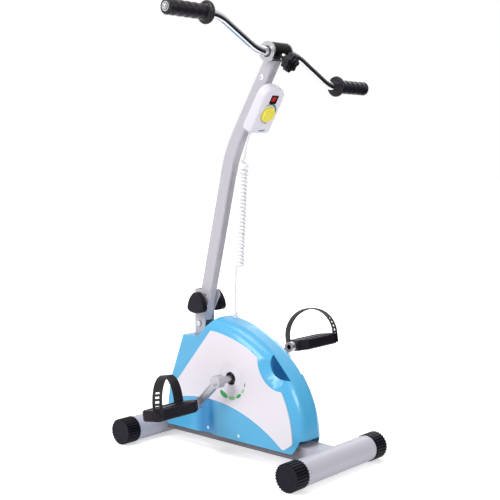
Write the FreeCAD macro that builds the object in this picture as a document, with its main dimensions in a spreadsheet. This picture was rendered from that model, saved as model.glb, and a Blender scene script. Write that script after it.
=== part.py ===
import FreeCAD, Part
import math
import os
import Sketcher

# Active passive trainer: motorised pedals in a moulded housing on a two-footed base, with a hand crank on a
# leaning mast and a handset on a curly cord.
# Frame: X runs across (the user's right is plus X), Y runs away from the user, Z is up. The origin lies on the
# floor, midway between the feet and midway across.

V = FreeCAD.Vector
doc = FreeCAD.newDocument("ActivePassiveTrainer")
nodes = {}

SIZES = (
    ("fit", 0.06, "radial running clearance of a shaft in its bore"),
    ("gap", 0.3, "air between pieces that pass each other"),
    ("overrun", 5, "how far a cutting tool runs past the face that it cuts"),
    # Base
    ("wheelbase", 502, "between the axes of the two stabiliser tubes"),
    ("base_width", 314, "over the end caps"),
    ("stabiliser_radius", 28, "outside radius of a stabiliser tube"),
    ("stabiliser_wall", 2, ""),
    ("cap_radius", 30, "to the flat tips of the ribs"),
    ("cap_length", 38, ""),
    ("cap_end_wall", 6, "thickness of the closed end"),
    ("cap_rib_height", 1.6, ""),
    ("cap_rib_width", 3.4, ""),
    ("cap_ribs", 28, "ribs round a cap"),
    ("cap_end_round", 2.5, "round of the closed end"),
    ("beam_width", 60, "rectangular tube between the stabilisers"),
    ("beam_height", 30, ""),
    ("beam_top", 50, "height of its upper face"),
    ("beam_wall", 2, ""),
    ("tab_length", 20, "tab that takes a skirt screw"),
    ("tab_height", 12, ""),
    ("tab_plate", 2, ""),
    # Bracket and hinge of the mast
    ("pivot_y", 120.5, "hinge axis of the mast"),
    ("pivot_z", 331, ""),
    ("bracket_wall", 3, "folded plate"),
    ("bracket_room", 25.4, "clear width between the cheeks"),
    ("bracket_back", 22.8, "outer back face behind the hinge axis"),
    ("bracket_depth", 32, "front to back"),
    ("bracket_rise", 32, "top edge above the hinge axis"),
    ("nose_forward", 14.5, "centre of the rounded nose in front of the hinge axis"),
    ("nose_radius", 14, ""),
    ("nose_foot_drop", 18, "where the nose runs out, below the hinge axis"),
    ("nose_hole_radius", 2.5, ""),
    ("nose_hole_forward", 10.5, ""),
    ("nose_hole_rise", 20, ""),
    ("clamp_bolt_radius", 5, ""),
    ("clamp_bolt_reach", 36, "from the middle to either end"),
    ("knob_tip", 28.5, "corner of the three-sided knob before rounding"),
    ("knob_side_radius", 48, "bow of its sides"),
    ("knob_corner", 12, "round of its corners"),
    ("knob_edge", 2.6, "round of its rims"),
    ("knob_hub_radius", 8, ""),
    ("knob_hub_length", 8, ""),
    ("knob_thickness", 17, ""),
    ("spacer_bolt_radius", 3, "cross bolt below the mast"),
    ("spacer_radius", 5.5, ""),
    ("spacer_back", 8.5, "behind the hinge axis"),
    ("spacer_drop", 48, "below the hinge axis"),
    ("bolt_head_radius", 6.5, ""),
    ("bolt_head_height", 4, ""),
    # Mast
    ("mast_depth", 32, "section, fore and aft"),
    ("mast_width", 24, "section, across"),
    ("mast_corner", 5, ""),
    ("mast_wall", 1.8, ""),
    ("mast_foot", 41, "below the hinge axis, along the mast"),
    ("mast_lower", 359, "hinge axis to the bend"),
    ("mast_upper", 247, "bend to the axis of the hand crank"),
    ("lean_lower", 13.3, "degrees from upright"),
    ("lean_upper", 31, "degrees from upright"),
    ("mast_bend_radius", 300, ""),
    ("plug_flange", 3, "black plug in the foot"),
    ("plug_depth", 22, ""),
    ("mast_screw_radius", 6.5, ""),
    ("mast_screw_height", 2.2, ""),
    ("mast_screw_below", 61, "below the axis of the hand crank, along the mast"),
    # Hand crank
    ("bearing_length", 62, "over the end rings"),
    ("bearing_radius", 18.6, "steel tube under the sleeve"),
    ("bearing_wall", 2.4, ""),
    ("ring_radius", 21.6, "silver end ring"),
    ("ring_width", 4, ""),
    ("ring_bore", 12.4, ""),
    ("sleeve_wall", 2.4, ""),
    ("sleeve_edge", 1, "round of the sleeve's ends"),
    ("bush_length", 16, ""),
    ("bar_radius", 9.5, "chromed tube"),
    ("bar_wall", 2, ""),
    ("bar_throw", 62, "from the turning axis to a grip"),
    ("bar_straight", 62, "where the bar starts to rise"),
    ("bar_shoulder", 183.5, "where it levels out again"),
    ("bar_bend_radius", 108, ""),
    ("bar_half_span", 326, "to either end of the bar"),
    ("grip_start", 211, "inner face of the grip's flange"),
    ("grip_radius", 15, ""),
    ("flange_radius", 23.5, ""),
    ("flange_width", 7, ""),
    ("grip_groove", 1, "depth of a groove"),
    ("grip_groove_width", 3.4, ""),
    ("grip_grooves", 7, "grooves along a grip"),
    ("grip_end_round", 5, ""),
    ("washer_radius", 8, ""),
    ("washer_height", 1.6, ""),
    ("end_bolt_radius", 5, ""),
    ("end_bolt_height", 4.5, ""),
    ("end_bolt_depth", 18, "length in the bar"),
    ("star_radius", 21.5, "friction knob over its lobes"),
    ("star_height", 15, ""),
    ("star_lobes", 7, ""),
    ("star_scallop", 7, "radius of a hollow between lobes"),
    ("star_round", 2, ""),
    ("star_stand", 39, "its back face, from the axis of the hand crank"),
    ("star_stem_radius", 4, ""),
    ("star_boss_radius", 8, ""),
    ("star_boss_end", 27, ""),
    # Handset
    ("handset_width", 65, ""),
    ("handset_height", 112, ""),
    ("handset_half", 13, "thickness of each half"),
    ("handset_back", 20.2, "back face in front of the mast's middle"),
    ("handset_rise", 129, "its middle above the bend, along the mast"),
    ("handset_top_corner", 27, ""),
    ("handset_foot_corner", 9, ""),
    ("handset_edge", 5, "round of its edges"),
    ("rail_neck", 20, "width of the holder's neck"),
    ("rail_head", 28, "width of its head"),
    ("rail_head_height", 1.8, ""),
    ("rail_lip", 2, "wall that the head hooks behind"),
    ("rail_length", 60, ""),
    ("rail_drop", 27, "top of the rail above the handset's middle"),
    ("switch_rise", 28.7, "above the handset's middle"),
    ("switch_width", 15, "rocker"),
    ("switch_reach", 6.8, "rocker, hinge to end"),
    ("switch_depth", 3.4, "hinge below the face"),
    ("switch_high", 35, "degrees of the raised end"),
    ("switch_low", 18, "degrees of the pressed end"),
    ("bezel_wall", 1.3, ""),
    ("bezel_lip", 1.6, "flange round the opening"),
    ("bezel_flange", 1.2, ""),
    ("bezel_depth", 9, ""),
    ("dial_drop", 6.4, "below the handset's middle"),
    ("dial_radius", 20, "speed knob at the face"),
    ("dial_top_radius", 17.8, ""),
    ("dial_height", 10, ""),
    ("dial_round", 2.2, ""),
    ("dial_shaft_radius", 3, ""),
    ("dial_shaft", 9, "length in the handset"),
    ("handset_gland_radius", 4.2, ""),
    ("handset_gland_length", 10, ""),
    ("handset_gland_x", -8, ""),
    ("handset_gland_depth", 10, "in front of the handset's back face"),
    # Housing
    ("housing_half", 47, "half width of the two shells"),
    ("housing_bottom", 37, "height of the lower edge"),
    ("housing_foot_y", 210, "lower corner at the mast end"),
    ("housing_hip_y", 194, ""),
    ("housing_hip_z", 155, ""),
    ("housing_hip_radius", 520, ""),
    ("shelf_y", 155, "upper corner at the mast end"),
    ("shelf_z", 257, ""),
    ("notch_y", 108, "where the shelf meets the slope"),
    ("crest_y", 62, "top of the slope"),
    ("crest_z", 305.3, ""),
    ("brow_radius", 307, "long curve over the top"),
    ("temple_y", -121.2, "where the two curves meet"),
    ("temple_z", 223.8, ""),
    ("face_radius", 232.3, "curve down the user end"),
    ("face_y", -194.6, ""),
    ("face_z", 66, "where the curve ends"),
    ("toe_y", -192, "lower corner at the user end"),
    ("crown_radius", 34, "round along the two curves"),
    ("edge_radius", 5, "round of the other edges"),
    ("shell_wall", 3, ""),
    ("arch_half", 34, "half width of the cut-out over the beam, user end, at its top"),
    ("arch_top", 65, ""),
    ("arch_foot_half", 43.5, "half width at the housing's lower edge"),
    ("scoop_y", 78, "upright hollow in the skirt, in line with the skirt screws near the mast"),
    ("scoop_radius", 60, ""),
    ("scoop_depth", 6, ""),
    ("scoop_top", 150, ""),
    ("bracket_slot", 1.5, "air round the bracket where it enters the housing"),
    ("panel_thickness", 3.4, ""),
    ("panel_proud", 1, ""),
    ("panel_groove", 0.7, "groove round a panel"),
    ("panel_top_y", 64, "upper corner at the mast end"),
    ("panel_top_z", 277, ""),
    ("panel_brow_radius", 290, ""),
    ("panel_brow_y", -77.5, "where the top edge meets the hand hold"),
    ("panel_brow_z", 233, ""),
    ("panel_dish_radius", 64.4, "concave edge round the hand hold"),
    ("panel_cheek_y", -144, ""),
    ("panel_cheek_z", 167.5, ""),
    ("panel_face_radius", 222, ""),
    ("panel_toe_y", -175.5, ""),
    ("panel_toe_z", 58, ""),
    ("panel_tip_y", -150, ""),
    ("panel_tip_z", 41, ""),
    ("panel_hem_radius", 369, "long lower edge"),
    ("panel_heel_y", 171, ""),
    ("panel_heel_z", 107, ""),
    ("panel_back_y", 175, ""),
    ("panel_back_z", 144, ""),
    ("panel_corner", 4, "round of its corners"),
    ("panel_toe_round", 9, "round of its two corners at the foot of the user end"),
    ("hub_hole", 15, "radius of the hole for the crank"),
    ("hub_ring_radius", 33, "shallow ring round the hole"),
    ("hub_ring_width", 1.6, ""),
    ("hub_ring_depth", 0.7, ""),
    ("hold_y", -115.3, "hand hold's straight edge in the middle of the housing"),
    ("hold_z", 204.2, ""),
    ("hold_radius", 40, ""),
    ("hold_sag", 17.5, "middle of the hold's curve beyond its straight edge"),
    ("hold_turn", 45.9, "degrees of its straight edge"),
    ("hold_flare", 36, "degrees that each half of the hold leans to the user"),
    ("dish_along", 2, "middle of the scooped rim from the middle of the straight edge"),
    ("dish_above", 38.5, ""),
    ("dish_radius", 61, "scooped rim at the surface"),
    ("dish_floor_radius", 40, ""),
    ("dish_depth", 12, ""),
    ("skirt_screw_radius", 3.6, ""),
    ("skirt_screw_height", 1.4, ""),
    ("skirt_screw_length", 7, ""),
    ("skirt_shank_radius", 1.6, ""),
    ("skirt_screw_z", 49, ""),
    ("skirt_screw_user_y", -22, ""),
    ("relief_x", 12, "strain relief of the handset's cord"),
    ("relief_y", 40, ""),
    ("relief_radius", 5.5, ""),
    ("relief_tip_radius", 3.4, ""),
    ("relief_base", 297, "height of its foot"),
    ("relief_collar", 8, ""),
    ("relief_taper", 10, ""),
    ("gland_x", 18, "inlet for the supply cable"),
    ("gland_z", 84, ""),
    ("gland_radius", 7, ""),
    ("gland_flange_radius", 10, ""),
    ("gland_flange", 3, ""),
    ("gland_length", 22, ""),
    ("gland_bore", 3.6, ""),
    ("gland_out", 214, "its outer end"),
    # Crank drive
    ("crank_y", 2, "crank axle"),
    ("crank_z", 176, ""),
    ("crank_throw", 84, ""),
    ("crank_turn", 45, "degrees below level of the left arm"),
    ("axle_radius", 10, ""),
    ("boss_radius", 14.4, ""),
    ("boss_inner", 82, "inner face of an arm's boss"),
    ("boss_outer", 96, ""),
    ("arm_thickness", 11, ""),
    ("arm_root", 8.5, "half width at the boss"),
    ("arm_tip", 7, "half width at the eye"),
    ("eye_radius", 11.5, ""),
    ("arm_round", 1.5, ""),
    ("axle_bolt_radius", 6, ""),
    ("axle_bolt_height", 1.6, ""),
    ("crank_bearing_radius", 21, ""),
    ("crank_bearing_width", 12, ""),
    ("crank_tube_wall", 3, ""),
    ("crank_tube_left", 38, "left end of the bearing tube"),
    ("crank_tube_right", 20, "right end of the bearing tube"),
    ("stand_plate", 3, ""),
    ("stand_foot", 34, "half length of the stand at the beam"),
    ("stand_neck", 22, "half length at the bearing tube"),
    ("stand_half", 27, "outer face of a stand plate"),
    ("seal_radius", 14.6, ""),
    ("seal_width", 4, ""),
    ("pulley_radius", 60, "drive pulley"),
    ("pulley_x", 27, "inner face of both pulleys"),
    ("pulley_width", 10, ""),
    ("pulley_hub_radius", 17, ""),
    ("pulley_web", 4, ""),
    ("pulley_rim", 6, ""),
    ("pulley_holes", 6, ""),
    ("pulley_hole_radius", 9, ""),
    ("motor_y", -95, "motor shaft"),
    ("motor_z", 98, ""),
    ("motor_radius", 31, ""),
    ("motor_length", 42, ""),
    ("motor_front", 20, "face that carries the gearbox"),
    ("gearbox_radius", 24, ""),
    ("gearbox_length", 16, ""),
    ("motor_shaft_radius", 5, ""),
    ("motor_pulley_radius", 15, ""),
    ("mount_plate", 3, ""),
    ("mount_half", 38, ""),
    ("belt_thickness", 2, ""),
    ("belt_width", 8, ""),
    ("board_length", 54, "control board"),
    ("board_width", 54, ""),
    ("board_thickness", 1.6, ""),
    ("board_rise", 8, "above the beam"),
    ("board_y", 48, "its end nearest the user"),
    ("board_post", 3, "radius of a post"),
    # Pedals
    ("pedal_inner", 112, "inner end of the pedal's body"),
    ("pedal_outer", 238, ""),
    ("pedal_half_depth", 29, "fore and aft"),
    ("pedal_half_height", 12.5, ""),
    ("pedal_nose", 15, "half depth at the inner end"),
    ("pedal_nose_end", 103, ""),
    ("pedal_edge", 5, ""),
    ("pedal_corner", 12, ""),
    ("pedal_rail", 7, "wall round a window"),
    ("pedal_barrel", 11, "half depth of the barrel round the spindle"),
    ("pedal_tilt", 9, "degrees toe down"),
    ("spindle_radius", 6, ""),
    ("spindle_collar", 9, ""),
    ("spindle_end", 228, ""),
    ("strap_turn", 25.3, "degrees that the strap runs askew"),
    ("strap_x", 177, "middle of the strap"),
    ("strap_y", 3.5, ""),
    ("strap_half_span", 60.6, "inner face of a leg"),
    ("strap_thickness", 2.6, ""),
    ("strap_width", 22, ""),
    ("strap_leg", 16, "where the arch begins above the spindle"),
    ("strap_foot", 9, "end of a leg below the spindle"),
    ("strap_slots", 5, ""),
    ("strap_slot_width", 10, ""),
    ("strap_slot_height", 5, ""),
    ("strap_slot_pitch", 10, ""),
    ("lug_radius", 3.6, "moulded lug that holds a leg"),
    ("lug_height", 4.4, ""),
    ("lug_head", 5.4, ""),
    ("lug_head_height", 1.4, ""),
    # Cord
    ("cord_radius", 2.3, ""),
    ("coil_radius", 6.6, "to the middle of the cord"),
    ("coil_top_x", -6, ""),
    ("coil_top_y", -5, ""),
    ("coil_top_z", 664, ""),
    ("coil_foot_x", 8, ""),
    ("coil_foot_y", 22, ""),
    ("coil_foot_z", 424, ""),
    ("coil_turns", 27, "curls"),
    ("coil_opening", 13, "how far the first curl is pulled open"),
)


class Size:
    """A length or angle that knows its number and the expression over the sheet that gives it."""

    def __init__(self, number, text):
        self.number = number
        self.text = text

    def __add__(self, other):
        other = as_size(other)
        return Size(self.number + other.number, f"({self.text} + {other.text})")

    def __radd__(self, other):
        return as_size(other) + self

    def __sub__(self, other):
        other = as_size(other)
        return Size(self.number - other.number, f"({self.text} - {other.text})")

    def __rsub__(self, other):
        return as_size(other) - self

    def __mul__(self, other):
        other = as_size(other)
        return Size(self.number * other.number, f"({self.text} * {other.text})")

    def __rmul__(self, other):
        return as_size(other) * self

    def __truediv__(self, other):
        other = as_size(other)
        return Size(self.number / other.number, f"({self.text} / {other.text})")

    def __neg__(self):
        return Size(-self.number, f"(0 - {self.text})")


def as_size(value):
    """Return a Size for a plain number or a Size."""
    return value if isinstance(value, Size) else Size(value, f"{value:g}")


def sin_of(angle):
    return Size(math.sin(math.radians(angle.number)), f"sin({angle.text})")


def cos_of(angle):
    return Size(math.cos(math.radians(angle.number)), f"cos({angle.text})")


def tan_of(angle):
    return Size(math.tan(math.radians(angle.number)), f"tan({angle.text})")


def root_of(value):
    return Size(math.sqrt(value.number), f"sqrt({value.text})")


class Sheet:
    """The driving sizes, as a spreadsheet whose cells have aliases."""

    def __init__(self, rows):
        self.sheet = doc.addObject("Spreadsheet::Sheet", "Sizes")
        for row, (alias, number, note) in enumerate(rows, 1):
            self.sheet.set(f"A{row}", alias.replace("_", " "))
            self.sheet.set(f"B{row}", str(number))
            self.sheet.setAlias(f"B{row}", alias)
            self.sheet.set(f"C{row}", note)
            setattr(self, alias, Size(number, f"Sizes.{alias}"))


S = Sheet(SIZES)
doc.recompute()

MIDDLE_Z = S.cap_radius
BEND_Y = S.pivot_y - S.mast_lower * sin_of(S.lean_lower)
BEND_Z = S.pivot_z + S.mast_lower * cos_of(S.lean_lower)
HANDLE_Y = BEND_Y - S.mast_upper * sin_of(S.lean_upper)
HANDLE_Z = BEND_Z + S.mast_upper * cos_of(S.lean_upper)
BRACKET_HALF = S.bracket_room / 2 + S.bracket_wall
BRACKET_BACK = S.pivot_y + S.bracket_back
HANDSET_FACE = S.handset_back + S.handset_half * 2
X_AXIS = V(1, 0, 0)
Y_AXIS = V(0, 1, 0)
Z_AXIS = V(0, 0, 1)
YZ_PLANE = FreeCAD.Rotation(Y_AXIS, Z_AXIS, X_AXIS, "XYZ")
XZ_PLANE = FreeCAD.Rotation(X_AXIS, Z_AXIS, -Y_AXIS, "XYZ")
XY_PLANE = FreeCAD.Rotation()
# How far each inner corner of the housing's outline moves for a wall, as shares of the wall.
NOTCH_SHARE = 0.43
CREST_SHARES = (0.47, 0.97)
TEMPLE_SHARES = (0.683, 0.731)


def place(obj, x=0, y=0, z=0, rotation=None, angle=None):
    """Put an object at a place given in sizes. An angle in sizes drives the rotation's own angle."""
    spots = [as_size(x), as_size(y), as_size(z)]
    rotation = rotation or FreeCAD.Rotation()
    obj.Placement = FreeCAD.Placement(V(*(s.number for s in spots)), rotation)
    for axis, spot in zip("xyz", spots):
        if spot.number or "Sizes" in spot.text:
            obj.setExpression(f"Placement.Base.{axis}", spot.text)
    if angle is not None:
        obj.setExpression("Placement.Rotation.Angle", angle.text)
    return obj


def tilted(obj, angle, x=0, y=0, z=0):
    """Turn an object about the X direction by an angle given in sizes, then put it at a place."""
    return place(obj, x, y, z, FreeCAD.Rotation(X_AXIS, angle.number), angle)


def keep(obj, name):
    """Register an object as a piece of the trainer under its own name."""
    obj.Label = name
    nodes[name] = obj
    return obj


def block(name, x0, x1, y0, y1, z0, z1):
    """A box between two corners given in sizes."""
    box = doc.addObject("Part::Box", name)
    for prop, low, high in (("Length", x0, x1), ("Width", y0, y1), ("Height", z0, z1)):
        span = as_size(high) - as_size(low)
        setattr(box, prop, span.number)
        box.setExpression(prop, span.text)
    return place(box, x0, y0, z0)


def rod(name, radius, x0, x1, y=0, z=0):
    """A cylinder along X."""
    return cylinder(name, radius, as_size(x1) - x0, x0, y, z, FreeCAD.Rotation(Y_AXIS, 90))


def cylinder(name, radius, height, x=0, y=0, z=0, rotation=None):
    """A cylinder along Z, unless a rotation turns it."""
    round_bar = doc.addObject("Part::Cylinder", name)
    for prop, value in (("Radius", radius), ("Height", as_size(height))):
        setattr(round_bar, prop, value.number)
        round_bar.setExpression(prop, value.text)
    return place(round_bar, x, y, z, rotation)


def cone(name, radius, end_radius, height, x=0, y=0, z=0, rotation=None):
    """A cone along Z, unless a rotation turns it."""
    taper = doc.addObject("Part::Cone", name)
    for prop, value in (("Radius1", radius), ("Radius2", end_radius), ("Height", height)):
        setattr(taper, prop, value.number)
        taper.setExpression(prop, value.text)
    return place(taper, x, y, z, rotation)


def cut(name, base, *tools):
    """Take the tools away from a base, one after the other."""
    for number, tool in enumerate(tools, 1):
        step = doc.addObject("Part::Cut", f"{name}_cut{number}")
        step.Base = base
        step.Tool = tool
        base = step
    return base


def fuse(name, *pieces):
    """Join pieces that meet into one solid."""
    union = doc.addObject("Part::MultiFuse", f"{name}_union")
    union.Shapes = list(pieces)
    union.Refine = True
    return union


def common(name, first, second):
    """The space that two shapes share."""
    shared = doc.addObject("Part::Common", f"{name}_shared")
    shared.Base = first
    shared.Tool = second
    return shared


def group(name, pieces):
    """Several separate solids that belong to one piece name."""
    compound = doc.addObject("Part::Compound", f"{name}_group")
    compound.Links = list(pieces)
    return compound


def draw(sketch, *loops):
    """Draw closed loops. A corner is (x, y), or (x, y, radius, turn) where an arc leads to it.

    A turn of 1 keeps the arc's centre on the left of the way along the loop, and -1 on the right.
    A circle is ("circle", x, y, radius).
    """
    for loop in loops:
        if loop[0] == "circle":
            draw_circle(sketch, *loop[1:])
        else:
            draw_loop(sketch, loop)
    return sketch


def pin_point(sketch, curve, end, x, y):
    """Hold one point of a curve at a place given in sizes."""
    for kind, value in (("DistanceX", as_size(x)), ("DistanceY", as_size(y))):
        number = sketch.addConstraint(Sketcher.Constraint(kind, curve, end, value.number))
        if "Sizes" in value.text:
            sketch.setExpression(f"Constraints[{number}]", value.text)


def hold_radius(sketch, curve, radius):
    number = sketch.addConstraint(Sketcher.Constraint("Radius", curve, radius.number))
    sketch.setExpression(f"Constraints[{number}]", radius.text)


def draw_circle(sketch, x, y, radius):
    centre = V(as_size(x).number, as_size(y).number, 0)
    curve = sketch.addGeometry(Part.Circle(centre, Z_AXIS, radius.number), False)
    pin_point(sketch, curve, 3, x, y)
    hold_radius(sketch, curve, radius)


def arc_between(start, end, radius, turn):
    """The shorter arc from start to end, counter-clockwise where turn is 1."""
    chord = end - start
    half = chord.Length / 2
    rise = math.sqrt(max(radius * radius - half * half, 0.0))
    left = V(-chord.y, chord.x, 0).normalize()
    centre = (start + end) / 2 + left * (rise * turn)
    first, last = (start, end) if turn > 0 else (end, start)
    angles = [math.atan2(p.y - centre.y, p.x - centre.x) for p in (first, last)]
    if angles[1] < angles[0]:
        angles[1] += 2 * math.pi
    return Part.ArcOfCircle(Part.Circle(centre, Z_AXIS, radius), *angles)


def draw_loop(sketch, loop, closed=True):
    """Draw one run of lines and arcs through corners given in sizes."""
    corners = [V(as_size(c[0]).number, as_size(c[1]).number, 0) for c in loop]
    count = len(loop) if closed else len(loop) - 1
    ends = []
    for i in range(count):
        j = (i + 1) % len(loop)
        if len(loop[j]) == 4:
            radius, turn = loop[j][2:]
            curve = sketch.addGeometry(arc_between(corners[i], corners[j], radius.number, turn), False)
            hold_radius(sketch, curve, radius)
            ends.append((curve, 1, 2) if turn > 0 else (curve, 2, 1))
        else:
            curve = sketch.addGeometry(Part.LineSegment(corners[i], corners[j]), False)
            ends.append((curve, 1, 2))
    for i, (curve, start, end) in enumerate(ends):
        pin_point(sketch, curve, start, *loop[i][:2])
        if closed or i + 1 < count:
            following = ends[(i + 1) % count]
            sketch.addConstraint(Sketcher.Constraint("Coincident", curve, end, following[0], following[1]))
    if not closed:
        pin_point(sketch, ends[-1][0], ends[-1][2], *loop[-1][:2])


def free_sketch(name, plane, *loops):
    """A sketch on one of the three main directions, outside any body."""
    sketch = doc.addObject("Sketcher::SketchObject", name)
    sketch.Placement = FreeCAD.Placement(V(), plane)
    return draw(sketch, *loops)


def prism(name, plane, low, high, *loops):
    """Loops drawn on a main plane and extruded along its normal from low to high."""
    sketch = free_sketch(f"{name}_outline", plane, *loops)
    solid = doc.addObject("Part::Extrusion", f"{name}_prism")
    solid.Base = sketch
    solid.DirMode = "Normal"
    solid.Solid = True
    length = as_size(high) - low
    solid.LengthFwd = length.number
    solid.setExpression("LengthFwd", length.text)
    normal = plane.multVec(Z_AXIS)
    shift = [as_size(low) * round(c) for c in (normal.x, normal.y, normal.z)]
    return place(solid, *shift)


def turned(name, loop):
    """A loop of (x, radius) corners, turned about the X axis."""
    sketch = free_sketch(f"{name}_outline", XZ_PLANE, loop)
    solid = doc.addObject("Part::Revolution", f"{name}_turned")
    solid.Source = sketch
    solid.Axis = X_AXIS
    solid.Base = V()
    solid.Angle = 360
    solid.Solid = True
    return solid


def new_body(name):
    return doc.addObject("PartDesign::Body", name)


def body_sketch(body, name, role, *loops, offset=0):
    """A sketch on one of a body's own planes, moved along the plane's normal by an offset."""
    sketch = body.newObject("Sketcher::SketchObject", name)
    plane = [f for f in body.Origin.OriginFeatures if f.Role == role][0]
    sketch.AttachmentSupport = [(plane, "")]
    sketch.MapMode = "FlatFace"
    offset = as_size(offset)
    if "Sizes" in offset.text:
        sketch.AttachmentOffset = FreeCAD.Placement(V(0, 0, offset.number), FreeCAD.Rotation())
        sketch.setExpression("AttachmentOffset.Base.z", offset.text)
    return draw(sketch, *loops)


def pad(body, sketch, length, midplane=False, backward=False):
    """Raise a sketch into a solid."""
    feature = body.newObject("PartDesign::Pad", f"{sketch.Name}_pad")
    feature.Profile = sketch
    feature.SideType = "Symmetric" if midplane else "One side"
    feature.Reversed = backward
    feature.Length = length.number
    feature.setExpression("Length", length.text)
    return feature


def pocket(body, sketch, length, midplane=False, backward=False):
    """Sink a sketch into the solid, and make sure that it cut something."""
    doc.recompute()
    before = body.Shape.Volume
    feature = body.newObject("PartDesign::Pocket", f"{sketch.Name}_pocket")
    feature.Profile = sketch
    feature.SideType = "Symmetric" if midplane else "One side"
    feature.Reversed = backward
    feature.Length = length.number
    feature.setExpression("Length", length.text)
    doc.recompute()
    if not feature.Shape.Volume < before:
        raise RuntimeError(f"{feature.Name} cuts nothing")
    return feature


def soften(body, radius, choose):
    """Round the edges that choose picks."""
    doc.recompute()
    tip = body.Tip
    names = [f"Edge{i}" for i, edge in enumerate(tip.Shape.Edges, 1) if choose(edge)]
    feature = body.newObject("PartDesign::Fillet", f"{body.Name}_round{len(body.Group)}")
    feature.Base = (tip, names)
    feature.Radius = radius.number
    feature.setExpression("Radius", radius.text)
    return feature


def spin(body, feature, role, count):
    """Repeat a feature round one of the body's own axes."""
    pattern = body.newObject("PartDesign::PolarPattern", f"{feature.Name}_pattern")
    pattern.Originals = [feature]
    axis = [f for f in body.Origin.OriginFeatures if f.Role == role][0]
    pattern.Axis = (axis, [""])
    pattern.Angle = 360
    pattern.Occurrences = int(count.number)
    pattern.setExpression("Occurrences", count.text)
    body.Tip = pattern
    return pattern


def at_x(value):
    """Choose edges that lie wholly at one X."""
    return lambda edge: all(abs(v.X - value.number) < 0.01 for v in edge.Vertexes)


def along_x(edge):
    """Choose edges that run across the trainer."""
    return edge.BoundBox.XLength > edge.Length / 2


def rectangle(x0, x1, y0, y1):
    return ((x0, y0), (x1, y0), (x1, y1), (x0, y1))


def rounded(half_x, half_y, radius):
    """A rectangle about the origin with round corners."""
    x, y = half_x - radius, half_y - radius
    return (
        (half_x, -y, radius, 1), (half_x, y), (x, half_y, radius, 1), (-x, half_y),
        (-half_x, y, radius, 1), (-half_x, -y), (-x, -half_y, radius, 1), (x, -half_y),
    )


def make_stabilisers():
    """The two cross tubes that the trainer stands on, and their ribbed rubber caps."""
    reach = S.base_width / 2 - S.cap_end_wall
    for name, y in (("stabiliser_mast_end", S.wheelbase / 2), ("stabiliser_user_end", -S.wheelbase / 2)):
        outer = rod(f"{name}_outer", S.stabiliser_radius, -reach, reach, y, MIDDLE_Z)
        inner = rod(f"{name}_inner", S.stabiliser_radius - S.stabiliser_wall, -reach, reach, y, MIDDLE_Z)
        keep(cut(name, outer, inner), name)
        for side, sign in (("left", -1), ("right", 1)):
            make_cap(name.replace("stabiliser", "end_cap") + "_" + side, sign, y)


def make_cap(name, sign, y):
    """A ribbed cap, modelled with its closed end outwards along X. One rib stands on the floor."""
    body = new_body(name)
    core = S.cap_radius - S.cap_rib_height
    half = S.cap_rib_width / 2
    pad(body, body_sketch(body, f"{name}_core", "YZ_Plane", ("circle", 0, 0, core)), S.cap_length)
    soften(body, S.cap_end_round, at_x(S.cap_length))
    rib_length = S.cap_length - S.cap_end_round
    rib = rectangle(-half, half, -S.cap_radius, -core + S.cap_rib_height)
    first = pad(body, body_sketch(body, f"{name}_rib", "YZ_Plane", rib), rib_length)
    spin(body, first, "X_Axis", S.cap_ribs)
    socket = body_sketch(body, f"{name}_socket", "YZ_Plane", ("circle", 0, 0, S.stabiliser_radius))
    pocket(body, socket, S.cap_length - S.cap_end_wall, backward=True)
    turn = FreeCAD.Rotation() if sign > 0 else FreeCAD.Rotation(Z_AXIS, 180)
    keep(place(body, sign * (S.base_width / 2 - S.cap_length), y, MIDDLE_Z, turn), name)


def make_beam():
    """The rectangular tube between the stabilisers, saddle-cut to them, with tabs for the skirt screws."""
    half, reach = S.beam_width / 2, S.wheelbase / 2
    foot = S.beam_top - S.beam_height
    outer = block("beam_outer", -half, half, -reach, reach, foot, S.beam_top)
    tabs = []
    for spot, hollow in ((S.scoop_y, S.scoop_depth), (S.skirt_screw_user_y, as_size(0))):
        tab_out = S.housing_half - S.shell_wall - hollow
        for side in (-1, 1):
            low, high = (half, tab_out) if side > 0 else (-tab_out, -half)
            shelf_top = S.skirt_screw_z - S.tab_height / 2 + S.tab_plate
            y0, y1 = spot - S.tab_length / 2, spot + S.tab_length / 2
            shelf = block("tab_shelf", low, high, y0, y1, shelf_top - S.tab_plate, shelf_top)
            flange_low = tab_out - S.tab_plate if side > 0 else -tab_out
            flange = block("tab_flange", flange_low, flange_low + S.tab_plate, y0, y1,
                           shelf_top - S.tab_plate, S.skirt_screw_z + S.tab_height / 2)
            tabs += [shelf, flange]
    solid = fuse("beam", outer, *tabs)
    wall = S.beam_wall
    inner = block("beam_inner", wall - half, half - wall, -reach, reach, foot + wall, S.beam_top - wall)
    tools = [inner]
    for y in (reach, -reach):
        tools.append(rod("beam_saddle", S.stabiliser_radius, -S.beam_width, S.beam_width, y, MIDDLE_Z))
    for y in (S.scoop_y, S.skirt_screw_user_y):
        tools.append(rod("tab_hole", S.skirt_shank_radius, -S.housing_half, S.housing_half, y, S.skirt_screw_z))
    keep(cut("frame_beam", solid, *tools), "frame_beam")


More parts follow.
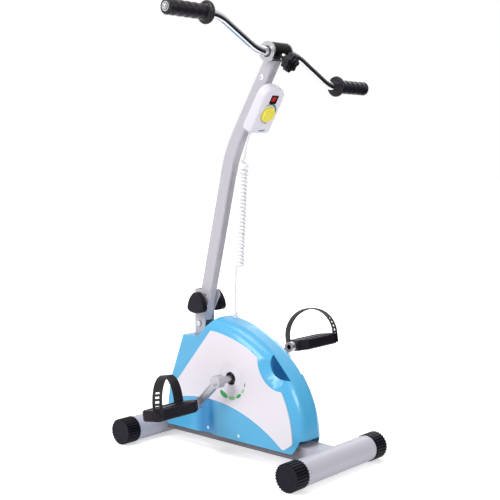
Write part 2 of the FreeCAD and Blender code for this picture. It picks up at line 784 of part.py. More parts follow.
def make_bracket():
    """The folded channel that carries the mast's hinge, open towards the user."""
    front = BRACKET_BACK - S.bracket_depth
    top = S.pivot_z + S.bracket_rise
    nose_y = S.pivot_y - S.nose_forward
    nose_z = top - S.nose_radius
    side = (
        (BRACKET_BACK, S.beam_top), (BRACKET_BACK, top), (nose_y, top),
        (nose_y - S.nose_radius, nose_z, S.nose_radius, 1), (front, S.pivot_z - S.nose_foot_drop),
        (front, S.beam_top),
    )
    plate = prism("bracket", YZ_PLANE, -BRACKET_HALF, BRACKET_HALF, side)
    room = S.bracket_room / 2
    inside = block("bracket_inside", -room, room, nose_y - S.nose_radius - S.overrun,
                   BRACKET_BACK - S.bracket_wall, S.beam_top - S.overrun, top + S.overrun)
    holes = [
        rod("bracket_bolt_hole", S.clamp_bolt_radius, -BRACKET_HALF, BRACKET_HALF, S.pivot_y, S.pivot_z),
        rod("bracket_nose_hole", S.nose_hole_radius, -BRACKET_HALF, BRACKET_HALF,
            S.pivot_y - S.nose_hole_forward, S.pivot_z + S.nose_hole_rise),
        rod("bracket_spacer_hole", S.spacer_bolt_radius, -BRACKET_HALF, BRACKET_HALF,
            S.pivot_y + S.spacer_back, S.pivot_z - S.spacer_drop),
    ]
    keep(cut("mast_bracket", plate, inside, *holes), "mast_bracket")
    keep(rod("clamp_bolt", S.clamp_bolt_radius, -S.clamp_bolt_reach, S.clamp_bolt_reach, S.pivot_y, S.pivot_z),
         "clamp_bolt")
    y, z = S.pivot_y + S.spacer_back, S.pivot_z - S.spacer_drop
    reach = BRACKET_HALF + S.bolt_head_height
    pieces = [
        rod("spacer_shank", S.spacer_bolt_radius, -reach, reach, y, z),
        rod("spacer_tube", S.spacer_radius, -room, room, y, z),
        rod("spacer_head", S.bolt_head_radius, -reach, -BRACKET_HALF, y, z),
        rod("spacer_nut", S.bolt_head_radius, BRACKET_HALF, reach, y, z),
    ]
    keep(fuse("spacer_bolt", *pieces), "spacer_bolt")


def make_clamp_knobs():
    """The two rounded three-sided knobs that clamp the mast's hinge."""
    corners = [
        (S.knob_tip * cos_of(turn), S.knob_tip * sin_of(turn), S.knob_side_radius, 1)
        for turn in (as_size(90), as_size(210), as_size(330))
    ]
    for name, sign in (("clamp_knob_left", -1), ("clamp_knob_right", 1)):
        body = new_body(name)
        pad(body, body_sketch(body, f"{name}_grip", "YZ_Plane", tuple(corners), offset=S.knob_hub_length),
            S.knob_thickness)
        soften(body, S.knob_corner, along_x)
        soften(body, S.knob_edge, at_x(S.knob_hub_length + S.knob_thickness))
        soften(body, S.knob_edge, at_x(S.knob_hub_length))
        pad(body, body_sketch(body, f"{name}_hub", "YZ_Plane", ("circle", 0, 0, S.knob_hub_radius)),
            S.knob_hub_length)
        bore = body_sketch(body, f"{name}_bore", "YZ_Plane", ("circle", 0, 0, S.clamp_bolt_radius + S.fit))
        pocket(body, bore, S.clamp_bolt_reach - BRACKET_HALF, backward=True)
        turn = FreeCAD.Rotation() if sign > 0 else FreeCAD.Rotation(Z_AXIS, 180)
        keep(place(body, sign * (BRACKET_HALF + S.gap), S.pivot_y, S.pivot_z, turn), name)


def mast_path(name, foot):
    """The middle line of the mast from its foot to the axis of the hand crank."""
    run = S.mast_bend_radius * tan_of((S.lean_upper - S.lean_lower) / 2)
    start = (S.pivot_y + foot * sin_of(S.lean_lower), S.pivot_z - foot * cos_of(S.lean_lower))
    first = (BEND_Y + run * sin_of(S.lean_lower), BEND_Z - run * cos_of(S.lean_lower))
    last = (BEND_Y - run * sin_of(S.lean_upper), BEND_Z + run * cos_of(S.lean_upper), S.mast_bend_radius, 1)
    sketch = doc.addObject("Sketcher::SketchObject", name)
    sketch.Placement = FreeCAD.Placement(V(), YZ_PLANE)
    draw_loop(sketch, (start, first, last, (HANDLE_Y, HANDLE_Z)), closed=False)
    return sketch


def mast_sweep(name, foot, wall):
    """The mast's section, less a wall, carried along its middle line."""
    section = doc.addObject("Sketcher::SketchObject", f"{name}_section")
    draw(section, rounded(S.mast_width / 2 - wall, S.mast_depth / 2 - wall, S.mast_corner - wall))
    tilted(section, S.lean_lower, 0, S.pivot_y + foot * sin_of(S.lean_lower),
           S.pivot_z - foot * cos_of(S.lean_lower))
    sweep = doc.addObject("Part::Sweep", f"{name}_sweep")
    sweep.Sections = [section]
    sweep.Spine = (mast_path(f"{name}_path", foot), ["Edge1", "Edge2", "Edge3"])
    sweep.Solid = True
    sweep.Frenet = False
    return sweep


def make_mast():
    """The bent box-section mast, its foot plug and the screw near its top."""
    back = block("foot_mitre", -S.mast_width, S.mast_width, BRACKET_BACK - S.bracket_wall - S.gap,
                 BRACKET_BACK + S.mast_depth, S.pivot_z - S.mast_foot - S.mast_depth, S.pivot_z)
    saddle = rod("mast_saddle", S.bearing_radius, -S.mast_width, S.mast_width, HANDLE_Y, HANDLE_Z)
    bore = rod("mast_bore", S.clamp_bolt_radius + S.fit, -S.mast_width, S.mast_width, S.pivot_y, S.pivot_z)
    outer = mast_sweep("mast_outer", S.mast_foot - S.plug_flange, as_size(0))
    inner = mast_sweep("mast_inner", S.mast_foot - S.plug_flange, S.mast_wall)
    keep(cut("mast_tube", outer, inner, back, saddle, bore), "mast_tube")
    half_x, half_y = S.mast_width / 2, S.mast_depth / 2
    flange = prism("plug_flange", XY_PLANE, -S.mast_foot, S.plug_flange - S.mast_foot,
                   rounded(half_x, half_y, S.mast_corner))
    wall = S.mast_wall
    stopper = prism("plug_stopper", XY_PLANE, S.plug_flange - S.mast_foot, S.plug_depth - S.mast_foot,
                    rounded(half_x - wall, half_y - wall, S.mast_corner - wall))
    plug = fuse("plug", flange, stopper)
    tilted(plug, S.lean_lower, 0, S.pivot_y, S.pivot_z)
    keep(cut("mast_foot_plug", plug, back), "mast_foot_plug")
    screw = rod("mast_screw", S.mast_screw_radius, -half_x - S.mast_screw_height, -half_x, 0,
                S.mast_upper - S.mast_screw_below)
    keep(tilted(group("mast_screw", [screw]), S.lean_upper, 0, BEND_Y, BEND_Z), "mast_screw")


def on_mast(obj):
    """Carry an object drawn about the mast's upper leg, with Z along it, to its place."""
    return tilted(obj, S.lean_upper, 0, BEND_Y, BEND_Z)


def make_bearing():
    """The cross tube at the mast's head with its end rings, sleeve and bushes."""
    half = S.bearing_length / 2
    inner_end = half - S.ring_width
    bore = S.bearing_radius - S.bearing_wall
    ring = S.ring_radius
    outline = (
        (-half, S.ring_bore), (-half, ring), (-inner_end, ring), (-inner_end, S.bearing_radius),
        (inner_end, S.bearing_radius), (inner_end, ring), (half, ring), (half, S.ring_bore),
        (inner_end, S.ring_bore), (inner_end, bore), (-inner_end, bore), (-inner_end, S.ring_bore),
    )
    tube = turned("bearing_tube", outline)
    up = S.mast_upper
    place(tube, 0, 0, up)
    boss = cylinder("star_boss", S.star_boss_radius, S.star_boss_end - S.bearing_radius + S.bearing_wall / 2,
                    0, S.bearing_wall / 2 - S.bearing_radius, up, FreeCAD.Rotation(X_AXIS, 90))
    thread = cylinder("star_thread", S.star_stem_radius + S.fit, S.star_boss_end, 0, 0, up,
                      FreeCAD.Rotation(X_AXIS, 90))
    carrier = cut("bearing", fuse("bearing", tube, boss), thread)
    keep(on_mast(carrier), "handle_bearing")
    sleeve = turned("sleeve", rectangle(-inner_end, inner_end, S.bearing_radius, S.bearing_radius + S.sleeve_wall))
    place(sleeve, 0, 0, up)
    slot = S.mast_depth / 2
    opening = block("sleeve_opening", -half, half, -slot, slot, up - S.ring_radius - S.overrun, up)
    relief = cylinder("sleeve_relief", S.star_boss_radius + S.gap, S.star_boss_end, 0, 0, up,
                      FreeCAD.Rotation(X_AXIS, 90))
    keep(on_mast(cut("sleeve", sleeve, opening, relief)), "bearing_sleeve")
    for name, sign in (("handle_bush_left", -1), ("handle_bush_right", 1)):
        clear = S.bar_radius + S.fit
        bush = turned(name, (
            (sign * (half - S.bush_length), clear), (sign * (half - S.bush_length), bore),
            (sign * inner_end, bore), (sign * inner_end, S.ring_bore), (sign * half, S.ring_bore),
            (sign * half, clear),
        ))
        keep(place(bush, 0, HANDLE_Y, HANDLE_Z), name)


def bar_path(name):
    """The cranked middle line of the bar, as the hand crank's own left-right and up-down plane."""
    rise = S.bar_throw
    run = S.bar_shoulder - S.bar_straight
    slope = root_of(rise * rise + run * run)
    tangent = S.bar_bend_radius * (slope - run) / rise
    dx, dz = tangent * run / slope, tangent * rise / slope
    right = [
        (S.bar_straight - tangent, as_size(0)),
        (S.bar_straight + dx, -dz, S.bar_bend_radius, -1),
        (S.bar_shoulder - dx, dz - rise),
        (S.bar_shoulder + tangent, -rise, S.bar_bend_radius, 1),
        (S.bar_half_span, -rise),
    ]
    left = [
        (-S.bar_half_span, rise),
        (-S.bar_shoulder - tangent, rise),
        (dx - S.bar_shoulder, rise - dz, S.bar_bend_radius, -1),
        (-S.bar_straight - dx, dz),
        (tangent - S.bar_straight, as_size(0), S.bar_bend_radius, 1),
    ]
    sketch = doc.addObject("Sketcher::SketchObject", name)
    sketch.Placement = FreeCAD.Placement(V(), XZ_PLANE)
    draw_loop(sketch, left + right, closed=False)
    return sketch


def bar_sweep(name, radius):
    section = free_sketch(f"{name}_section", YZ_PLANE, ("circle", 0, S.bar_throw, radius))
    place(section, -S.bar_half_span, 0, 0, YZ_PLANE)
    sweep = doc.addObject("Part::Sweep", f"{name}_sweep")
    sweep.Sections = [section]
    sweep.Spine = (bar_path(f"{name}_path"), [f"Edge{i}" for i in range(1, 10)])
    sweep.Solid = True
    sweep.Frenet = False
    return sweep


def make_hand_crank():
    """The cranked chrome bar, the two turning grips and the bolts that hold them on."""
    bar = cut("bar", bar_sweep("bar_outer", S.bar_radius), bar_sweep("bar_inner", S.bar_radius - S.bar_wall))
    keep(place(bar, 0, HANDLE_Y, HANDLE_Z), "handlebar")
    bolts = []
    for side, sign in (("left", -1), ("right", 1)):
        end = S.bar_half_span
        shank = S.bar_radius - S.bar_wall
        x1 = end + S.washer_height
        x2 = x1 + S.end_bolt_height
        bolt = turned(f"end_bolt_{side}", (
            (sign * (end - S.end_bolt_depth), as_size(0)), (sign * (end - S.end_bolt_depth), shank),
            (sign * end, shank), (sign * end, S.washer_radius), (sign * x1, S.washer_radius),
            (sign * x1, S.end_bolt_radius), (sign * x2, S.end_bolt_radius), (sign * x2, as_size(0)),
        ))
        place(bolt, 0, 0, -sign * S.bar_throw)
        bolts.append(bolt)
        grip = turned(f"grip_{side}", grip_outline(sign))
        keep(place(grip, 0, HANDLE_Y, HANDLE_Z - sign * S.bar_throw), f"grip_{side}")
    keep(place(group("end_bolts", bolts), 0, HANDLE_Y, HANDLE_Z), "handlebar_end_bolts")


def grip_outline(sign):
    """Half section of a grip: a round flange, then a handle with grooves, then a rounded end."""
    start, end = S.grip_start, S.bar_half_span - S.gap
    bore, body, flange = S.bar_radius + S.fit, S.grip_radius, S.flange_radius
    rim = S.flange_width / 2
    bulge = 1 if sign > 0 else -1
    points = [
        (start, bore), (start, flange - rim), (start + rim, flange, rim, -bulge),
        (start + S.flange_width, flange - rim, rim, -bulge), (start + S.flange_width, body),
    ]
    first = start + S.flange_width
    length = end - S.grip_end_round - first
    pitch = length / (S.grip_grooves + 1)
    for number in range(1, int(S.grip_grooves.number) + 1):
        middle = first + pitch * number
        low, high = middle - S.grip_groove_width / 2, middle + S.grip_groove_width / 2
        slope = S.grip_groove
        points += [(low, body), (low + slope, body - S.grip_groove), (high - slope, body - S.grip_groove),
                   (high, body)]
    points += [(end - S.grip_end_round, body), (end, body - S.grip_end_round, S.grip_end_round, -bulge), (end, bore)]
    return tuple((sign * p[0],) + tuple(p[1:]) for p in points)


def make_friction_knob():
    """The star knob whose stem presses on the bar in its bearing."""
    body = new_body("friction_knob")
    pad(body, body_sketch(body, "star_disc", "XZ_Plane", ("circle", 0, 0, S.star_radius), offset=S.star_stand),
        S.star_height)
    hollow = S.star_scallop
    reach = S.star_radius + hollow / 2
    cutter = body_sketch(body, "star_hollow", "XZ_Plane", ("circle", 0, reach, hollow), offset=S.star_stand)
    first = pocket(body, cutter, S.star_height, backward=True)
    spin(body, first, "Y_Axis", S.star_lobes)
    top = -S.star_stand - S.star_height
    soften(body, S.star_round, lambda e: all(abs(v.Y - top.number) < 0.01 for v in e.Vertexes))
    pad(body, body_sketch(body, "star_collar", "XZ_Plane", ("circle", 0, 0, S.star_boss_radius),
                          offset=S.star_boss_end + S.gap), S.star_stand - S.star_boss_end - S.gap)
    stem_end = S.bar_radius + S.gap
    pad(body, body_sketch(body, "star_stem", "XZ_Plane", ("circle", 0, 0, S.star_stem_radius), offset=stem_end),
        S.star_boss_end + S.gap - stem_end)
    tilted(body, S.lean_upper, 0, HANDLE_Y, HANDLE_Z)
    keep(body, "friction_knob")


def handset_outline():
    """Front view of the handset about its own middle."""
    x, z = S.handset_width / 2, S.handset_height / 2
    top, foot = S.handset_top_corner, S.handset_foot_corner
    return (
        (x, z - top), (x - top, z, top, 1), (top - x, z), (-x, z - top, top, 1),
        (-x, foot - z), (foot - x, -z, foot, 1), (x - foot, -z), (x, foot - z, foot, 1),
    )


def make_handset():
    """The white two-part handset, its holder on the mast, the rocker, the speed knob and the gland."""
    back, half, face = S.handset_back, S.handset_half, HANDSET_FACE
    neck_room = S.rail_neck / 2 + S.gap
    head_room = S.rail_head / 2 + S.gap
    rail_top = S.rail_drop
    foot = -S.handset_height / 2
    shell = new_body("handset_back")
    pad(shell, body_sketch(shell, "back_plate", "XZ_Plane", handset_outline(), offset=back), half)
    soften(shell, S.handset_edge, lambda e: all(abs(v.Y + back.number) < 0.01 for v in e.Vertexes))
    slot = rectangle(-neck_room, neck_room, foot - S.overrun, rail_top + S.gap)
    pocket(shell, body_sketch(shell, "neck_slot", "XZ_Plane", slot, offset=back), S.rail_lip, backward=True)
    wide = rectangle(-head_room, head_room, foot - S.overrun, rail_top + S.gap)
    pocket(shell, body_sketch(shell, "head_slot", "XZ_Plane", wide, offset=back + S.rail_lip),
           S.rail_head_height + S.gap * 2, backward=True)
    seat = cylinder("gland_seat", S.handset_gland_radius, S.handset_gland_length,
                    S.handset_gland_x, -back - S.handset_gland_depth, foot - S.handset_gland_length * 3 / 4)
    middle = S.handset_rise
    shell_cut = cut("handset_shell", shell, seat)
    keep(shift_on_mast(shell_cut, middle), "handset_back")
    front = new_body("handset_front")
    pad(front, body_sketch(front, "front_plate", "XZ_Plane", handset_outline(), offset=back + half), half)
    soften(front, S.handset_edge, lambda e: all(abs(v.Y + face.number) < 0.01 for v in e.Vertexes))
    hole_x = S.switch_width / 2 + S.gap + S.bezel_wall
    hole_z = S.switch_reach + S.gap + S.bezel_wall
    well = rectangle(-hole_x, hole_x, S.switch_rise - hole_z, S.switch_rise + hole_z)
    pocket(front, body_sketch(front, "switch_well", "XZ_Plane", well, offset=face), S.bezel_depth)
    shaft = ("circle", 0, -S.dial_drop, S.dial_shaft_radius + S.fit)
    pocket(front, body_sketch(front, "dial_hole", "XZ_Plane", shaft, offset=face), S.dial_shaft + S.gap)
    front_cut = cut("handset_face", front, seat)
    keep(shift_on_mast(front_cut, middle), "handset_front")
    make_gland_and_holder(middle)
    make_switch(middle)
    make_dial(middle)


def shift_on_mast(obj, middle):
    """Carry an object drawn about the handset's middle to its place on the mast."""
    return tilted(obj, S.lean_upper, 0, BEND_Y - middle * sin_of(S.lean_upper),
                  BEND_Z + middle * cos_of(S.lean_upper))


def make_gland_and_holder(middle):
    """The cord's gland in the handset's foot, and the T-shaped rail that the handset hangs on."""
    foot = -S.handset_height / 2
    y = -S.handset_back - S.handset_gland_depth
    inside = S.handset_gland_length / 4
    body = cylinder("gland_body", S.handset_gland_radius, inside, S.handset_gland_x, y, foot)
    taper = cone("gland_taper", S.cord_radius + S.gap, S.handset_gland_radius, S.handset_gland_length * 3 / 4,
                 S.handset_gland_x, y, foot - S.handset_gland_length * 3 / 4)
    keep(shift_on_mast(fuse("gland", body, taper), middle), "handset_gland")
    mast_face = S.mast_depth / 2
    top, low = S.rail_drop, S.rail_drop - S.rail_length
    head_at = S.handset_back + S.rail_lip + S.gap
    neck, head = S.rail_neck / 2, S.rail_head / 2
    pieces = [
        block("rail_neck", -neck, neck, -head_at, -mast_face, low, top),
        block("rail_head", -head, head, -head_at - S.rail_head_height, -head_at, low, top),
    ]
    keep(shift_on_mast(fuse("rail", *pieces), middle), "handset_holder")


def make_switch(middle):
    """The rocker in its black bezel."""
    face = HANDSET_FACE
    room_x, room_z = S.switch_width / 2 + S.gap, S.switch_reach + S.gap
    wall_x, wall_z = room_x + S.bezel_wall, room_z + S.bezel_wall
    lip_x, lip_z = wall_x + S.bezel_lip, wall_z + S.bezel_lip
    mid = S.switch_rise
    wall = block("bezel_wall", -wall_x, wall_x, -face, S.bezel_depth - face, mid - wall_z, mid + wall_z)
    lip = block("bezel_lip", -lip_x, lip_x, -face - S.bezel_flange, -face, mid - lip_z, mid + lip_z)
    room = block("bezel_room", -room_x, room_x, -face - S.overrun, S.bezel_depth - S.bezel_wall - face,
                 mid - room_z, mid + room_z)
    keep(shift_on_mast(cut("bezel", fuse("bezel", wall, lip), room), middle), "switch_bezel")
    reach = S.switch_reach
    raised = (reach * cos_of(S.switch_high), reach * sin_of(S.switch_high))
    pressed = (-reach * cos_of(S.switch_low), reach * sin_of(S.switch_low))
    crest = (raised[1] + pressed[1]) / 2
    low = (reach * cos_of(S.switch_low), -reach * sin_of(S.switch_low))
    outline = ((low[0], low[1]), (raised[0], raised[1], reach, 1), (0, crest), pressed,
               (-low[0], low[1], reach, 1))
    plane = FreeCAD.Rotation(Z_AXIS, -Y_AXIS, X_AXIS, "XYZ")
    rocker = prism("rocker", plane, -S.switch_width / 2, S.switch_width / 2, outline)
    half = S.switch_width / 2
    place(rocker, -half, S.switch_depth - face, mid)
    rocker_piece = group("rocker", [rocker])
    keep(shift_on_mast(rocker_piece, middle), "rocker_switch")


def make_dial(middle):
    """The yellow speed knob with its shaft."""
    face = HANDSET_FACE
    low, high = face + S.gap, face + S.gap + S.dial_height
    knob = turned("dial", (
        (face - S.dial_shaft, as_size(0)), (face - S.dial_shaft, S.dial_shaft_radius), (low, S.dial_shaft_radius),
        (low, S.dial_radius), (high - S.dial_round, S.dial_top_radius),
        (high, S.dial_top_radius - S.dial_round, S.dial_round, 1), (high, as_size(0)),
    ))
    place(knob, 0, 0, -S.dial_drop, FreeCAD.Rotation(Z_AXIS, -90))
    keep(shift_on_mast(group("dial", [knob]), middle), "speed_knob")


def housing_outline(wall):
    """Side view of the housing from the lower corner at the mast end, set in by a wall."""
    return (
        (S.housing_foot_y - wall, S.housing_bottom),
        (S.housing_hip_y - wall, S.housing_hip_z, S.housing_hip_radius - wall, 1),
        (S.shelf_y - wall, S.shelf_z - wall),
        (S.notch_y - wall * NOTCH_SHARE, S.shelf_z - wall),
        (S.crest_y - wall * CREST_SHARES[0], S.crest_z - wall * CREST_SHARES[1]),
        (S.temple_y + wall * TEMPLE_SHARES[0], S.temple_z - wall * TEMPLE_SHARES[1], S.brow_radius - wall, 1),
        (S.face_y + wall, S.face_z, S.face_radius - wall, 1),
        (S.toe_y + wall, S.housing_bottom),
    )


def panel_outline():
    """Side view of a white side panel, from its upper corner at the mast end."""
    return (
        (S.panel_top_y, S.panel_top_z),
        (S.panel_brow_y, S.panel_brow_z, S.panel_brow_radius, 1),
        (S.panel_cheek_y, S.panel_cheek_z, S.panel_dish_radius, -1),
        (S.panel_toe_y, S.panel_toe_z, S.panel_face_radius, 1),
        (S.panel_tip_y, S.panel_tip_z),
        (S.panel_heel_y, S.panel_heel_z, S.panel_hem_radius, -1),
        (S.panel_back_y, S.panel_back_z),
    )


def housing_block(name, wall):
    """The right half of the housing as a full block with its rounded edges, set in by a wall."""
    body = new_body(name)
    half = S.housing_half - wall
    pad(body, body_sketch(body, f"{name}_side", "YZ_Plane", housing_outline(wall)), half)

    def on_side(edge):
        return at_x(half)(edge) and edge.BoundBox.ZLength + edge.CenterOfMass.z > S.arch_top.number

    def on_curves(edge):
        return on_side(edge) and edge.CenterOfMass.y < S.crest_y.number

    def on_rest(edge):
        return on_side(edge) and edge.CenterOfMass.y > S.crest_y.number

    soften(body, S.crown_radius - wall, on_curves)
    soften(body, S.edge_radius - wall, on_rest)
    return body


def flared(obj):
    """Lean an object of the hand hold's frame outwards to the user."""
    flare = -S.hold_flare
    return place(obj, rotation=FreeCAD.Rotation(Y_AXIS, flare.number), angle=flare)


def above_chord(name, grow):
    """All that lies beyond the hand hold's straight edge."""
    size = S.hold_radius * 4
    return flared(group(name, [block(f"{name}_slab", -size, size, -size, size, grow, size)]))


def hold_shape(name, grow):
    """The right half of the hand hold, a part-round prism that leans outwards. A growth makes it wider."""
    size = S.hold_radius * 2
    disc = rod(f"{name}_disc", S.hold_radius + grow, -size, size, 0, S.hold_sag)
    shape = cut(name, flared(group(f"{name}_lean", [disc])), above_chord(f"{name}_above", grow))
    return tilted(shape, S.hold_turn, 0, S.hold_y, S.hold_z)


def dish_shape(name, grow):
    """The scooped rim between the hand hold and the side panel."""
    depth = S.dish_depth + grow
    bowl = cone(f"{name}_bowl", S.dish_floor_radius + grow, S.dish_radius + grow, depth,
                S.housing_half - depth, S.dish_along, S.dish_above, FreeCAD.Rotation(Y_AXIS, 90))
    shape = cut(name, bowl, above_chord(f"{name}_over", grow))
    return tilted(shape, S.hold_turn, 0, S.hold_y, S.hold_z)


def scoop_shape(name, grow):
    """The upright hollow in the right skirt. A growth makes it wider."""
    depth = S.scoop_depth + grow
    return cylinder(name, S.scoop_radius + grow, S.scoop_top + grow,
                    S.housing_half - depth + S.scoop_radius + grow, S.scoop_y, 0)


def panel_plate(name, back, thickness):
    """A side panel's plate with its round corners, from its back face outwards."""
    body = new_body(name)
    pad(body, body_sketch(body, f"{name}_plan", "YZ_Plane", panel_outline(), offset=back), thickness)
    low = S.panel_heel_z.number - 1

    def at_toe(edge):
        return along_x(edge) and edge.CenterOfMass.z < low

    def at_rest(edge):
        return along_x(edge) and edge.CenterOfMass.z > low

    soften(body, S.panel_toe_round, at_toe)
    soften(body, S.panel_corner, at_rest)
    return body


def mirrored(name, obj):
    """The left twin of a right piece."""
    twin = doc.addObject("Part::Mirroring", f"{name}_twin")
    twin.Source = obj
    twin.Normal = X_AXIS
    twin.Base = V()
    return twin


def make_housing():
    """The two blue shells, with beds for the side panels, the hand hold and their openings."""
    wall, half = S.shell_wall, S.housing_half
    full = housing_block("shell_full", wall * 0)
    room = cut("shell_room", housing_block("shell_inside", wall), scoop_shape("shell_scoop_back", wall))
    skin = cut("shell_skin", full, room)
    backing = fuse("shell_backing", hold_shape("shell_tunnel", wall), dish_shape("shell_dish_back", wall))
    whole = fuse("shell_whole", skin, common("shell_rim", full, backing))
    reach = half + S.overrun
    slot_front = BRACKET_BACK - S.bracket_depth - S.bracket_slot
    bed_back = half - S.panel_thickness + S.panel_proud
    bed = panel_plate("shell_bed", bed_back, reach - bed_back)
    arch = ((0, -S.overrun), (S.arch_foot_half, -S.overrun), (S.arch_foot_half, S.housing_bottom),
            (S.arch_half, S.arch_top), (0, S.arch_top))
    tools = [
        bed,
        cut("shell_scoop", scoop_shape("shell_scoop_round", wall * 0),
            panel_plate("scoop_limit", half - S.scoop_depth * 2, S.scoop_depth * 2 + S.overrun)),
        hold_shape("shell_hold", wall * 0),
        dish_shape("shell_dish", wall * 0),
        rod("shell_hub", S.hub_hole + S.panel_groove, 0, reach, S.crank_y, S.crank_z),
        prism("shell_arch", XZ_PLANE, 0, S.overrun - S.toe_y, arch),
        block("shell_rear_arch", 0, S.beam_width / 2 + S.gap, 0, S.housing_foot_y + S.overrun, 0,
              S.beam_top + S.gap),
        block("shell_slot", 0, BRACKET_HALF + S.bracket_slot, slot_front, BRACKET_BACK + S.bracket_slot,
              S.shelf_z - wall * 3, S.shelf_z + S.overrun),
    ]
    for y in (S.scoop_y, S.skirt_screw_user_y):
        tools.append(rod("shell_screw_hole", S.skirt_shank_radius, 0, reach, y, S.skirt_screw_z))
    plain = cut("shell_plain", whole, *tools)
    keep(mirrored("shell_left", plain), "shell_left")
    relief = cylinder("relief_hole", S.relief_radius, S.relief_collar, S.relief_x, S.relief_y, S.relief_base)
    inlet = cylinder("gland_hole", S.gland_radius, S.gland_length, S.gland_x, S.gland_out, S.gland_z,
                     FreeCAD.Rotation(X_AXIS, 90))
    keep(cut("shell_right", plain, relief, inlet), "shell_right")
    make_panels()


def make_panels():
    """The white side panels and the black seals behind their holes."""
    outer = S.housing_half + S.panel_proud
    back = outer - S.panel_thickness
    body = panel_plate("panel", back, S.panel_thickness)
    hub = (S.crank_y, S.crank_z)
    ring = cut("panel_ring", rod("panel_ring_outer", S.hub_ring_radius, outer - S.hub_ring_depth, outer, *hub),
               rod("panel_ring_inner", S.hub_ring_radius - S.hub_ring_width, outer - S.hub_ring_depth, outer, *hub))
    panel = cut("panel", body, rod("panel_hole", S.hub_hole, back, outer, *hub), ring)
    keep(panel, "side_panel_right")
    keep(mirrored("side_panel_left", panel), "side_panel_left")
    clear = S.axle_radius + S.gap
    for side, sign in (("left", -1), ("right", 1)):
        seal = turned(f"axle_seal_{side}", (
            (sign * (back - S.seal_width), clear), (sign * (back - S.seal_width), S.seal_radius),
            (sign * back, S.seal_radius), (sign * back, clear),
        ))
        keep(place(seal, 0, *hub), f"axle_seal_{side}")


def make_housing_fittings():
    """Skirt screws, the strain relief of the handset's cord and the inlet for the supply cable."""
    screws = []
    rise = S.scoop_radius - root_of(S.scoop_radius * S.scoop_radius - S.skirt_screw_radius * S.skirt_screw_radius)
    for sign in (-1, 1):
        for y, hollow in ((S.scoop_y, S.scoop_depth - rise), (S.skirt_screw_user_y, as_size(0))):
            outside = S.housing_half - hollow
            screw = turned("skirt_screw", (
                (sign * (outside - S.skirt_screw_length), as_size(0)),
                (sign * (outside - S.skirt_screw_length), S.skirt_shank_radius),
                (sign * outside, S.skirt_shank_radius), (sign * outside, S.skirt_screw_radius),
                (sign * (outside + S.skirt_screw_height), S.skirt_screw_radius - S.skirt_screw_height),
                (sign * (outside + S.skirt_screw_height), as_size(0)),
            ))
            screws.append(place(screw, 0, y, S.skirt_screw_z))
    keep(group("skirt_screws", screws), "skirt_screws")
    collar = cylinder("relief_collar", S.relief_radius, S.relief_collar, S.relief_x, S.relief_y, S.relief_base)
    taper = cone("relief_taper", S.relief_radius, S.relief_tip_radius, S.relief_taper, S.relief_x, S.relief_y,
                 S.relief_base + S.relief_collar)
    keep(fuse("relief", collar, taper), "cord_strain_relief")
    turn = FreeCAD.Rotation(X_AXIS, 90)
    body = cylinder("gland_stem", S.gland_radius, S.gland_length, S.gland_x, S.gland_out, S.gland_z, turn)
    flange = cylinder("gland_rim", S.gland_flange_radius, S.gland_flange, S.gland_x, S.gland_out, S.gland_z, turn)
    bore = cylinder("gland_bore", S.gland_bore, S.gland_length, S.gland_x, S.gland_out, S.gland_z, turn)
    keep(cut("cable_gland", fuse("cable_gland", body, flange), bore), "cable_gland")


def make_crank():
    """The crank axle, both arms, the pedal spindles and the drive pulley."""
    end = S.boss_outer - S.axle_bolt_height
    keep(rod("crank_axle", S.axle_radius, -end, end, S.crank_y, S.crank_z), "crank_axle")
    spindles = []
    for side, sign in (("left", -1), ("right", 1)):
        turn = -S.crank_turn if sign < 0 else 180 - S.crank_turn
        keep(tilted(make_arm(side, sign), turn, 0, S.crank_y, S.crank_z), f"crank_arm_{side}")
        y, z = pedal_axis(sign)
        spindle = turned(f"spindle_{side}", (
            (sign * (S.boss_outer - S.arm_thickness), as_size(0)),
            (sign * (S.boss_outer - S.arm_thickness), S.spindle_radius),
            (sign * S.boss_outer, S.spindle_radius), (sign * S.boss_outer, S.spindle_collar),
            (sign * (S.pedal_nose_end - S.gap), S.spindle_collar),
            (sign * (S.pedal_nose_end - S.gap), S.spindle_radius),
            (sign * S.spindle_end, S.spindle_radius), (sign * S.spindle_end, as_size(0)),
        ))
        spindles.append(place(spindle, 0, y, z))
    keep(group("spindles", spindles), "pedal_spindles")
    hub, rim, web = S.pulley_hub_radius, S.pulley_rim, S.pulley_web
    x0, x1 = S.pulley_x, S.pulley_x + S.pulley_width
    mid = x0 + S.pulley_width / 2
    radius = S.pulley_radius
    wheel = turned("pulley", (
        (x0, S.axle_radius), (x1, S.axle_radius), (x1, hub), (mid + web / 2, hub), (mid + web / 2, radius - rim),
        (x1, radius - rim), (x1, radius), (x0, radius), (x0, radius - rim), (mid - web / 2, radius - rim),
        (mid - web / 2, hub), (x0, hub),
    ))
    holes = []
    count = int(S.pulley_holes.number)
    spot = (hub + radius - rim) / 2
    for number in range(count):
        turn = as_size(360 * number / count)
        holes.append(rod("pulley_hole", S.pulley_hole_radius, x0, x1, spot * cos_of(turn), spot * sin_of(turn)))
    keep(place(cut("pulley", wheel, *holes), 0, S.crank_y, S.crank_z), "drive_pulley")


